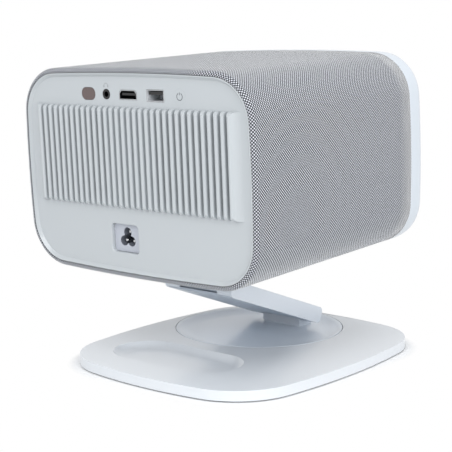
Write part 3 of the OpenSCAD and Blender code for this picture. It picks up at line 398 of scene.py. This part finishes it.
copies = {}
bm = copied("base_shell")
soften(bm, ring_bevel, lambda p: p.z > near_top and from_turn(p) < hole_r)
soften(bm, plate_bevel, lambda p: p.z > near_top and from_turn(p) > hole_r, 3)
copies["base_shell"] = stand_in(bm, "base_shell", "base_plate")
bm = copied("turntable")
soften(bm, ring_bevel, lambda p: p.z > near_top and from_turn(p) > disc_rim_r)
copies["turntable"] = stand_in(bm, "turntable", "swivel_disc")
bm = copied("arm_shell")
soften(bm, arm_bevel, lambda p: True, 3)
copies["arm_shell"] = stand_in(bm, "arm_shell", "arm_top")
print("bevelled pieces:", list(copies))

# %% [markdown]
# ## The rear cover and what sits in it
#
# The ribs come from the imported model. Only the edge round the mains inlet is rounded here,
# because the photograph shows it as a broad light frame. The inlet's face and its pins are
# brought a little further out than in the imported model, where the recess is deeper than
# the photograph's. The other pieces only need their points merged and smooth shading.

# %% The rear cover, with a soft edge round its inlet opening
face_y = 82.0  # the cover's rear face in the head
inlet_x, inlet_z = 11.5, -42.0
rim_half_wide, rim_half_tall = 12.5, 10.0
rim_bevel = 0.9


def at_inlet_rim(point):
    """Whether a point lies on the edge of the opening for the mains inlet."""
    p = head_mm(point)
    on_face = abs(p.y - face_y) < edge_slack
    return on_face and abs(p.x - inlet_x) < rim_half_wide and abs(p.z - inlet_z) < rim_half_tall


bm = copied("rear_cover")
soften(bm, rim_bevel, at_inlet_rim, 4)
copies["rear_cover"] = stand_in(bm, "rear_cover", "ribbed_cover")

# %% Copies that only need smooth shading
ROUND = [
    "arm_cover", "lower_bracket", "head_bracket", "front_bezel", "front_window",
    "remote_window", "headphone_jack", "hdmi_port", "usb_port", "power_button",
    "power_inlet", "inlet_pins", "eject_button", "lens_barrel", "lens_mount", "lens_glass",
    "fan_frame", "fan_rotor", "base_feet", "glide_ring", "lower_pin", "upper_pin"]
inlet_rise = 2.2
RAISED = {"power_inlet": 76.0, "inlet_pins": 74.0}  # the part behind this plane is raised
for name in ROUND:
    bm = copied(name)
    if name in RAISED:
        tip = [v for v in bm.verts if head_mm(v.co).y > RAISED[name]]
        bmesh.ops.translate(bm, vec=head_back * inlet_rise * MM, verts=tip)
    copies[name] = stand_in(bm, name, name + "_round")
print("smooth copies:", len(copies))

# %% [markdown]
# ## Printed symbols
#
# The power button carries a ring with a stroke, and a small headphone stands above the
# jack. Both are a thin film of ink, made as bodies a few hundredths of a millimetre proud:
# a curved stroke is a small section spun through its angle, and a straight one is a bar.

# %% Inked strokes
film = 0.05  # how far the ink stands out of the face, and reaches into it
arc_steps = 28


def ink_arc(bm, x, z, radius, width, start, turn):
    """A curved stroke on the cover's face, drawn about a point of the head."""
    inner, outer = radius - width / 2, radius + width / 2
    section = []
    for r, y in ((inner, -film), (outer, -film), (outer, film), (inner, film)):
        spot = (x + r * cos(radians(start)), face_y + y, z + r * sin(radians(start)))
        section.append(bm.verts.new(spot))
    edges = [bm.edges.new(pair) for pair in zip(section, section[1:] + section[:1])]
    bmesh.ops.spin(
        bm, geom=section + edges, cent=(x, face_y, z), axis=(0, -1, 0), angle=radians(turn),
        steps=arc_steps, use_merge=False, use_normal_flip=False, use_duplicate=False)
    bmesh.ops.holes_fill(bm, edges=[e for e in bm.edges if e.is_boundary], sides=4)


def ink_bar(bm, x, z, wide, tall):
    """A straight stroke on the cover's face."""
    bar = bmesh.ops.create_cube(bm, size=1.0)["verts"]
    bmesh.ops.scale(bm, vec=(wide, 2 * film, tall), verts=bar)
    bmesh.ops.translate(bm, vec=(x, face_y, z), verts=bar)


def inked(bm, name, body):
    """Turn strokes drawn in the head's millimetres into a piece."""
    bmesh.ops.recalc_face_normals(bm, faces=bm.faces)
    into_model(bm)
    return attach(finish_mesh(bm, name, smooth=False), body)


# %% The power symbol
port_z = 50.0  # the middle of the row of sockets
power_x, ring_r, stroke = -41.1, 2.2, 0.5
ring_start, ring_turn = 118, 304  # the ring is open at its top
bar_rise, bar_tall = 1.75, 1.7
bm = bmesh.new()
ink_arc(bm, power_x, port_z, ring_r, stroke, ring_start, ring_turn)
ink_bar(bm, power_x, port_z + bar_rise, stroke, bar_tall)
power_symbol = inked(bm, "power_symbol", "power_key")
print("power symbol faces:", len(power_symbol.data.polygons))

# %% The headphone symbol
jack_x, symbol_z = 21.0, port_z + 5.2
band_r, band_stroke = 1.7, 0.35
cup_wide, cup_tall, cup_drop = 0.8, 1.1, 0.3
bm = bmesh.new()
ink_arc(bm, jack_x, symbol_z, band_r, band_stroke, 0, 180)
for side in (-band_r, band_r):
    ink_bar(bm, jack_x + side, symbol_z - cup_drop, cup_wide, cup_tall)
phone_symbol = inked(bm, "headphone_symbol", "head")
print("headphone symbol faces:", len(phone_symbol.data.polygons))

# %% [markdown]
# ## Finishes
#
# Moulded plastic is never quite even: it has a fine spark texture and faint changes of
# gloss. One node group makes that texture for all the plastics and metals, and each
# material sets its own scale and strength. The plain values sit on the shader itself.

# %% Node helpers
def new_group(name, inputs, outputs):
    """An empty shader node group with float or colour sockets."""
    group = bpy.data.node_groups.new(name, "ShaderNodeTree")
    for label, kind, value in inputs:
        socket = group.interface.new_socket(label, in_out="INPUT", socket_type=kind)
        socket.default_value = value
    for label, kind in outputs:
        group.interface.new_socket(label, in_out="OUTPUT", socket_type=kind)
    return group


def node(tree, kind, **values):
    """A node with its properties or unlinked inputs set by name."""
    made = tree.nodes.new(kind)
    for key, value in values.items():
        if hasattr(made, key):
            setattr(made, key, value)
        else:
            made.inputs[key.replace("_", " ")].default_value = value
    return made


def math_node(tree, operation, a, b=None):
    """A Math node fed by sockets or numbers."""
    made = tree.nodes.new("ShaderNodeMath")
    made.operation = operation
    for i, value in enumerate([a] if b is None else [a, b]):
        if isinstance(value, (int, float)):
            made.inputs[i].default_value = value
        else:
            tree.links.new(value, made.inputs[i])
    return made.outputs[0]


def srgb(r, g, b):
    """A screen colour of 0 to 255 as the linear values that a shader reads."""
    return tuple(((v / 255 + 0.055) / 1.055) ** 2.4 if v > 10 else v / 255 / 12.92
                 for v in (r, g, b))


# %% The moulded surface shared by the plastics and metals
moulded = new_group(
    "moulded_surface",
    [("Colour", "NodeSocketColor", (0.8, 0.8, 0.8, 1)), ("Grain size", "NodeSocketFloat", 0.6),
     ("Roughness", "NodeSocketFloat", 0.4), ("Variation", "NodeSocketFloat", 0.03)],
    [("Colour", "NodeSocketColor"), ("Roughness", "NodeSocketFloat"),
     ("Height", "NodeSocketFloat")])
entry, leave = moulded.nodes.new("NodeGroupInput"), moulded.nodes.new("NodeGroupOutput")
place = moulded.nodes.new("ShaderNodeTexCoord")
scale = math_node(moulded, "DIVIDE", 1 / MM, entry.outputs["Grain size"])
grain = node(moulded, "ShaderNodeTexNoise", Detail=3.0, Roughness=0.6)
moulded.links.new(place.outputs["Object"], grain.inputs["Vector"])
moulded.links.new(scale, grain.inputs["Scale"])
moulded.links.new(grain.outputs[0], leave.inputs["Height"])

# %% Broad clouds in its colour and gloss
cloud = node(moulded, "ShaderNodeTexNoise", Scale=28.0, Detail=2.0)
moulded.links.new(place.outputs["Object"], cloud.inputs["Vector"])
swing = math_node(moulded, "SUBTRACT", cloud.outputs[0], 0.5)
swing = math_node(moulded, "MULTIPLY", swing, entry.outputs["Variation"])
tint = moulded.nodes.new("ShaderNodeHueSaturation")
moulded.links.new(entry.outputs["Colour"], tint.inputs["Color"])
moulded.links.new(math_node(moulded, "ADD", swing, 1.0), tint.inputs["Value"])
gloss = math_node(moulded, "MULTIPLY", swing, 2.0)
gloss = math_node(moulded, "ADD", gloss, entry.outputs["Roughness"])
moulded.links.new(tint.outputs[0], leave.inputs["Colour"])
moulded.links.new(gloss, leave.inputs["Roughness"])
print("node groups:", [g.name for g in bpy.data.node_groups])

# %% A maker of moulded finishes
coat_roughness, grain_height = 0.12, 0.3 * MM


def moulded_finish(name, colour, roughness, grain_mm, depth, variation, coat=0.0, metallic=0.0):
    """A plastic or metal whose surface comes from the shared group."""
    material = bpy.data.materials.new(name)
    material.use_nodes = True
    tree = material.node_tree
    shader = tree.nodes["Principled BSDF"]
    shader.inputs["Metallic"].default_value = metallic
    shader.inputs["Coat Weight"].default_value = coat
    shader.inputs["Coat Roughness"].default_value = coat_roughness
    surface = tree.nodes.new("ShaderNodeGroup")
    surface.node_tree = moulded
    surface.inputs["Colour"].default_value = (*colour, 1)
    surface.inputs["Grain size"].default_value = grain_mm
    surface.inputs["Roughness"].default_value = roughness
    surface.inputs["Variation"].default_value = variation
    bump = node(tree, "ShaderNodeBump", Strength=depth, Distance=grain_height)
    tree.links.new(surface.outputs["Colour"], shader.inputs["Base Color"])
    tree.links.new(surface.outputs["Roughness"], shader.inputs["Roughness"])
    tree.links.new(surface.outputs["Height"], bump.inputs["Height"])
    tree.links.new(bump.outputs[0], shader.inputs["Normal"])
    return material


# %% [markdown]
# ## The plastics and metals of this projector
#
# The stand is a cool white and the rear cover a greyer plastic, both with a soft gloss.
# Each line gives a finish its colour, its roughness, the grain's size in millimetres, the
# grain's depth and how much colour and gloss vary.

# %% Finishes that show from outside
base_white = moulded_finish("base_white", srgb(224, 228, 232), 0.30, 0.5, 0.02, 0.02, coat=0.3)
disc_white = moulded_finish("disc_white", srgb(228, 235, 243), 0.30, 0.5, 0.01, 0.02, coat=0.3)
arm_white = moulded_finish("arm_white", srgb(226, 232, 239), 0.26, 0.5, 0.02, 0.02, coat=0.4)
# A darker, bluer copy of the arm's white for the arm's lower cover: painted shade for its
# underside.
arm_underside_shade = moulded_finish("arm_underside_shade", srgb(200, 209, 219), 0.36, 0.5, 0.03, 0.03)
bracket_paint = moulded_finish("bracket_paint", srgb(214, 220, 228), 0.42, 0.4, 0.03, 0.02)
cover_grey = moulded_finish("cover_grey", srgb(188, 193, 196), 0.30, 0.5, 0.03, 0.02, coat=0.3)
bezel_white = moulded_finish("bezel_white", srgb(208, 215, 222), 0.30, 0.5, 0.02, 0.02, coat=0.2)
black_gloss = moulded_finish("black_gloss", srgb(14, 14, 16), 0.16, 0.5, 0.01, 0.05, coat=0.2)
infrared = moulded_finish("infrared_window", srgb(94, 78, 76), 0.18, 0.8, 0.01, 0.05, coat=0.4)
foot_rubber = moulded_finish("foot_rubber", srgb(30, 30, 32), 0.75, 0.7, 0.15, 0.10)
# Dark paint for the seam strip, which stands for the shade in the gap between cloth and cover.
seam_shade_paint = moulded_finish("seam_shade_paint", srgb(30, 31, 34), 0.60, 0.5, 0.05, 0.10)
symbol_ink = moulded_finish("symbol_ink", srgb(104, 108, 112), 0.5, 0.4, 0.02, 0.05)
faint_ink = moulded_finish("faint_ink", srgb(150, 153, 156), 0.5, 0.4, 0.02, 0.05)
print("materials so far, with the packed model's own:", len(bpy.data.materials))

# %% Finishes of the sockets and of the inside
inlet_grey = moulded_finish("inlet_grey", srgb(184, 188, 197), 0.40, 0.5, 0.03, 0.03)
# A darker grey for the hollow of the mains inlet, which is one moulding: painted shade.
inlet_hollow_shade = moulded_finish("inlet_hollow_shade", srgb(112, 116, 126), 0.45, 0.5, 0.03, 0.05)
lining = moulded_finish("port_lining", srgb(205, 208, 212), 0.30, 0.4, 0.02, 0.04)
plated = moulded_finish("plated_steel", srgb(200, 202, 205), 0.20, 0.3, 0.02, 0.05, metallic=1.0)
steel = moulded_finish("brushed_steel", srgb(165, 168, 172), 0.34, 0.3, 0.06, 0.08, metallic=1.0)
alloy = moulded_finish("raw_alloy", srgb(178, 182, 186), 0.36, 0.4, 0.05, 0.06, metallic=1.0)
dark_mould = moulded_finish("dark_mould", srgb(46, 48, 52), 0.50, 0.6, 0.05, 0.10)
board_green = moulded_finish("board_green", srgb(38, 92, 56), 0.45, 1.5, 0.05, 0.15)
print("materials so far:", len(bpy.data.materials))

# %% [markdown]
# ## The woven cloth
#
# The sleeve is a plain weave of dark and light yarns, one millimetre apart. The UV map
# gives millimetres along both directions, so the yarns run straight round every corner.
# Sines round each yarn, and a chequer of whole numbers says which one passes over. A soft
# noise makes some stitches lighter than others, as spun yarn is, and a strong sheen gives
# the bright edge of loose fibres.

# %% The weave's pattern
def ridge(tree, way):
    """Height over one row of yarns: nothing between two of them and 1 on top."""
    wave = math_node(tree, "SINE", math_node(tree, "MULTIPLY", way, pi))
    return math_node(tree, "ABSOLUTE", wave)


def weave_masks(tree, uv, pitch):
    """Two sockets: the height of the yarns, and where the light yarn passes over."""
    split = tree.nodes.new("ShaderNodeSeparateXYZ")
    tree.links.new(uv, split.inputs[0])
    across = math_node(tree, "DIVIDE", split.outputs[0], pitch)
    along = math_node(tree, "DIVIDE", split.outputs[1], pitch)
    column, row = math_node(tree, "FLOOR", across), math_node(tree, "FLOOR", along)
    over = math_node(tree, "MODULO", math_node(tree, "ADD", column, row), 2.0)
    yarn = math_node(tree, "MULTIPLY", ridge(tree, across), ridge(tree, along))
    return yarn, over


# %% The weave's material
speck_size, speck_share, over_height, yarn_height = 1.1, 0.5, 0.3, 0.25 * MM


def cloth_finish(name, pitch, light, dark):
    """Plain weave from a UV map in millimetres."""
    material = bpy.data.materials.new(name)
    material.use_nodes = True
    tree = material.node_tree
    shader = tree.nodes["Principled BSDF"]
    shader.inputs["Roughness"].default_value = 0.85
    shader.inputs["Sheen Weight"].default_value = 1.0
    shader.inputs["Sheen Roughness"].default_value = 0.3
    shader.inputs["Specular IOR Level"].default_value = 0.25
    uv = node(tree, "ShaderNodeUVMap", uv_map="travel_mm").outputs[0]
    yarn, over = weave_masks(tree, uv, pitch)
    speck = node(tree, "ShaderNodeTexNoise", Scale=speck_size, Detail=2.0, Roughness=0.7)
    tree.links.new(uv, speck.inputs["Vector"])
    uneven = math_node(tree, "SUBTRACT", speck.outputs[0], 0.5)
    uneven = math_node(tree, "MULTIPLY", uneven, speck_share)
    shade = math_node(tree, "MULTIPLY", over, math_node(tree, "SQRT", yarn))
    shade = math_node(tree, "ADD", shade, uneven)
    colours = node(tree, "ShaderNodeMix", data_type="RGBA", clamp_factor=True)
    colours.inputs[6].default_value = (*dark, 1)
    colours.inputs[7].default_value = (*light, 1)
    tree.links.new(shade, colours.inputs[0])
    height = math_node(tree, "ADD", yarn, math_node(tree, "MULTIPLY", over, over_height))
    bump = node(tree, "ShaderNodeBump", Strength=0.6, Distance=yarn_height)
    tree.links.new(height, bump.inputs["Height"])
    tree.links.new(colours.outputs[2], shader.inputs["Base Color"])
    tree.links.new(bump.outputs[0], shader.inputs["Normal"])
    return material


yarn_pitch = 1.0
grey_weave = cloth_finish("grey_weave", yarn_pitch, srgb(236, 239, 246), srgb(46, 48, 54))
sleeve.data.materials.append(grey_weave)
print("yarns round the body: %d" % (around / yarn_pitch))

# %% [markdown]
# ## Glass of the lens
#
# Coated glass is clear with a faint blue reflection. A plain transmission value on the
# shader is what a glass material needs, and a thin coat gives the second reflection.

# %% Lens glass
lens_glass = bpy.data.materials.new("coated_glass")
lens_glass.use_nodes = True
glass = lens_glass.node_tree.nodes["Principled BSDF"]
glass.inputs["Base Color"].default_value = (*srgb(150, 170, 205), 1)
glass.inputs["Roughness"].default_value = 0.03
glass.inputs["Transmission Weight"].default_value = 0.85
glass.inputs["IOR"].default_value = 1.6
glass.inputs["Coat Weight"].default_value = 0.6
glass.inputs["Coat Tint"].default_value = (*srgb(120, 150, 235), 1)
print("materials in all but the floor's:", len(bpy.data.materials))

# %% [markdown]
# ## Which piece gets which finish
#
# A table by the pieces' names is easier to read and to change than a line for each piece.
# The dark mouldings have a list of their own, and screws and other hidden fittings that
# neither names are steel.

# %% Each imported piece gets its finish
# The arm's lower cover takes the darker copy of the arm's white, which is painted shade.
FINISH = {
    "base_shell": base_white, "turntable": disc_white, "arm_shell": arm_white,
    "arm_cover": arm_underside_shade, "rear_cover": cover_grey, "power_button": cover_grey,
    "power_inlet": inlet_grey, "front_bezel": bezel_white, "eject_button": bezel_white,
    "front_window": black_gloss, "headphone_jack": black_gloss, "hdmi_port": plated,
    "usb_port": plated, "inlet_pins": plated, "guide_rods": plated,
    "remote_window": infrared, "lens_glass": lens_glass, "base_feet": foot_rubber,
    "feed_roller": foot_rubber, "lower_bracket": bracket_paint, "head_bracket": bracket_paint,
    "main_board": board_green, "port_board": board_green, "power_board": board_green,
    "heatsink": alloy, "arm_core": alloy, "glide_ring": disc_white,
}
DARK = ["housing", "lens_mount", "lens_barrel", "optical_engine", "fan_frame", "fan_rotor",
        "left_speaker", "right_speaker", "disc_spindle", "pickup_sled"]
for name, piece in nodes.items():
    finish = FINISH.get(name, dark_mould if name in DARK else steel)
    piece.data.materials.clear()
    piece.data.materials.append(finish)
    if name in copies:
        copies[name].data.materials.append(finish)
# The seam strip gets the dark paint of its painted shade.
seam_shade_strip.data.materials.append(seam_shade_paint)
power_symbol.data.materials.append(symbol_ink)
phone_symbol.data.materials.append(faint_ink)
print("dressed:", len(nodes))

# %% [markdown]
# ## Inside the sockets
#
# A socket is a plated shell with a dark tongue or hollow inside. Both are one imported piece,
# so the faces that lie behind the cover's face are given a second finish by their place. The
# HDMI socket's black is partly its black tongue and partly painted shade on the shell's inner
# walls, and the darker grey in the mains inlet's hollow is painted shade.

# %% Black tongues, and painted shade in the sockets' hollows
shell_lip = 0.3  # the shell's own metal shows this deep
tongue_z = port_z + 0.4  # black above this height in the data socket, lining below
inlet_deep = 5.0  # of the inlet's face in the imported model, before it is raised


def second_finish(name, material, choose):
    """Give the faces that choose() takes, by their centre in the head, another finish."""
    mesh = copies[name].data
    mesh.materials.append(material)
    for face in mesh.polygons:
        if choose(head_mm(face.center)):
            face.material_index = len(mesh.materials) - 1


def inside(p, deep=0.0):
    """Whether a point of the head lies inside a socket that starts so deep in the cover."""
    return p.y < face_y - deep - shell_lip


# Black inside the HDMI shell: the tongue's own black, and painted shade on the shell's inner
# walls.
second_finish("hdmi_port", black_gloss, inside)
second_finish("usb_port", black_gloss, lambda p: inside(p) and p.z > tongue_z)
second_finish("usb_port", lining, lambda p: inside(p) and p.z < tongue_z)
# The inlet's hollow gets a darker grey, which is painted shade.
second_finish("power_inlet", inlet_hollow_shade, lambda p: inside(p, inlet_deep - inlet_rise))
print("sockets with two finishes:", [n for n in copies if len(copies[n].data.materials) > 1])

# %% [markdown]
# ## Floor and backdrop
#
# A product photograph is cut out on white paper and keeps only a thin shadow. The floor is
# a plain pale sheet near the object, so it catches that shadow. Away from the object it
# turns to pure white, but only for the camera, through glass and in reflections. Diffuse
# light doesn't see that white, so it adds no glow. The world is white in the same way.

# %% The floor's plane and the distance from the base plate
def picture_rays(tree):
    """1 for rays from the camera, through glass and from a mirror, otherwise 0."""
    path = tree.nodes.new("ShaderNodeLightPath").outputs
    seen = math_node(tree, "MAXIMUM", path["Is Camera Ray"], path["Is Transmission Ray"])
    return math_node(tree, "MAXIMUM", seen, path["Is Glossy Ray"])


def plate_distance(tree, corner):
    """How far a point of the floor lies from the base plate less its corner radius."""
    low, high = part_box("base_shell")
    middle, half = (low + high) / 2, (high - low) / 2
    place = tree.nodes.new("ShaderNodeTexCoord")
    split = tree.nodes.new("ShaderNodeSeparateXYZ")
    tree.links.new(place.outputs["Object"], split.inputs[0])
    squares = []
    for i in (0, 1):
        off = math_node(tree, "SUBTRACT", split.outputs[i], middle[i])
        off = math_node(tree, "SUBTRACT", math_node(tree, "ABSOLUTE", off), half[i] - corner)
        off = math_node(tree, "MAXIMUM", off, 0.0)
        squares.append(math_node(tree, "MULTIPLY", off, off))
    return math_node(tree, "SQRT", math_node(tree, "ADD", *squares))


floor_half = 6.0
bm = bmesh.new()
bmesh.ops.create_grid(bm, x_segments=1, y_segments=1, size=floor_half)
floor = finish_mesh(bm, "floor")
print("floor: %.0f m wide" % (2 * floor_half))

# %% The floor's paper
plate_corner = 49 * MM
fade_start, fade_end = 47 * MM, 55 * MM  # the plate's own edge lies at plate_corner
paper = bpy.data.materials.new("paper_floor")
paper.use_nodes = True
tree = paper.node_tree
shader = tree.nodes["Principled BSDF"]
shader.inputs["Base Color"].default_value = (0.92, 0.92, 0.92, 1)
shader.inputs["Roughness"].default_value = 0.9
fade = node(tree, "ShaderNodeMapRange", interpolation_type="SMOOTHSTEP")
fade.inputs["From Min"].default_value = fade_start
fade.inputs["From Max"].default_value = fade_end
tree.links.new(plate_distance(tree, plate_corner), fade.inputs["Value"])
clean = tree.nodes.new("ShaderNodeEmission")
clean.inputs["Color"].default_value = (1, 1, 1, 1)
mix = tree.nodes.new("ShaderNodeMixShader")
share = math_node(tree, "MULTIPLY", fade.outputs["Result"], picture_rays(tree))
tree.links.new(share, mix.inputs[0])
tree.links.new(shader.outputs[0], mix.inputs[1])
tree.links.new(clean.outputs[0], mix.inputs[2])
tree.links.new(mix.outputs[0], tree.nodes["Material Output"].inputs["Surface"])
floor.data.materials.append(paper)
print("the floor fades to white over %.0f mm" % ((fade_end - fade_start) / MM))

# %% The world
world_light, world_tint = 0.58, (0.93, 0.96, 1.0, 1)
world = bpy.data.worlds.new("studio")
bpy.context.scene.world = world
world.use_nodes = True
tree = world.node_tree
tree.nodes.clear()
dim = node(tree, "ShaderNodeBackground", Strength=world_light)
dim.inputs["Color"].default_value = world_tint
white = node(tree, "ShaderNodeBackground", Strength=1.0)
white.inputs["Color"].default_value = (1, 1, 1, 1)
pick = tree.nodes.new("ShaderNodeMixShader")
out = tree.nodes.new("ShaderNodeOutputWorld")
tree.links.new(picture_rays(tree), pick.inputs[0])
tree.links.new(dim.outputs[0], pick.inputs[1])
tree.links.new(white.outputs[0], pick.inputs[2])
tree.links.new(pick.outputs[0], out.inputs[0])
print("world light:", world_light)

# %% [markdown]
# ## Lamps
#
# A product photograph is lit by large soft panels, which give wide highlights and no hard
# shadow. One stands low on the -X side and lights the ribs' flanks, one hangs over the
# head and lights the top edges, and one behind the rear cover lights what the camera sees.

# %% Soft panels
def soft_lamp(name, place, target, size, power):
    """A square area lamp that faces its target."""
    data = bpy.data.lights.new(name, "AREA")
    data.shape = "SQUARE"
    data.size = size
    data.energy = power
    lamp = bpy.data.objects.new(name, data)
    lamp.location = place
    aim = Vector(target) - Vector(place)
    lamp.rotation_euler = aim.to_track_quat("-Z", "Y").to_euler()
    bpy.context.scene.collection.objects.link(lamp)


middle = (0.0, 0.0, 0.12)
soft_lamp("side_panel", (-1.45, 0.45, 0.5), middle, 0.9, 8.5)
soft_lamp("top_panel", (-0.2, 0.1, 1.6), middle, 1.4, 7)
soft_lamp("rear_panel", (-0.35, 1.25, 1.15), middle, 1.0, 10.5)
print("lamps:", len(bpy.data.lights))

# %% [markdown]
# ## Camera
#
# The camera's place, direction and focal length were solved from the outlines in the
# photograph together with the object's sizes. It stands behind the head, towards -X, a
# little higher than the head's top, and it rolls by half a degree.

# %% Camera
azimuth, elevation, roll_angle = radians(220.14), radians(9.09), radians(-0.53)
camera_place = (-0.5228, 0.62010, 0.21582)
picture_wide, focal_length = 452, 1209  # in the photograph's pixels
sensor_wide = 36.0
back = Vector((sin(azimuth) * cos(elevation), -cos(azimuth) * cos(elevation), sin(elevation)))
right = Vector((cos(azimuth), sin(azimuth), 0))
up = back.cross(right)
turned_right = right * cos(roll_angle) + up * sin(roll_angle)
turned_up = up * cos(roll_angle) - right * sin(roll_angle)
lens_data = bpy.data.cameras.new("camera")
lens_data.sensor_width = sensor_wide
lens_data.lens = sensor_wide * focal_length / picture_wide
lens_data.clip_start = 0.01
camera = bpy.data.objects.new("camera", lens_data)
pose = Matrix((turned_right, turned_up, back)).transposed().to_4x4()
pose.translation = camera_place
camera.matrix_world = pose
bpy.context.scene.collection.objects.link(camera)
bpy.context.scene.camera = camera
bpy.context.scene.view_settings.view_transform = "Standard"
print("focal length: %.1f mm" % lens_data.lens)

# %% [markdown]

# %% The end
print("done")
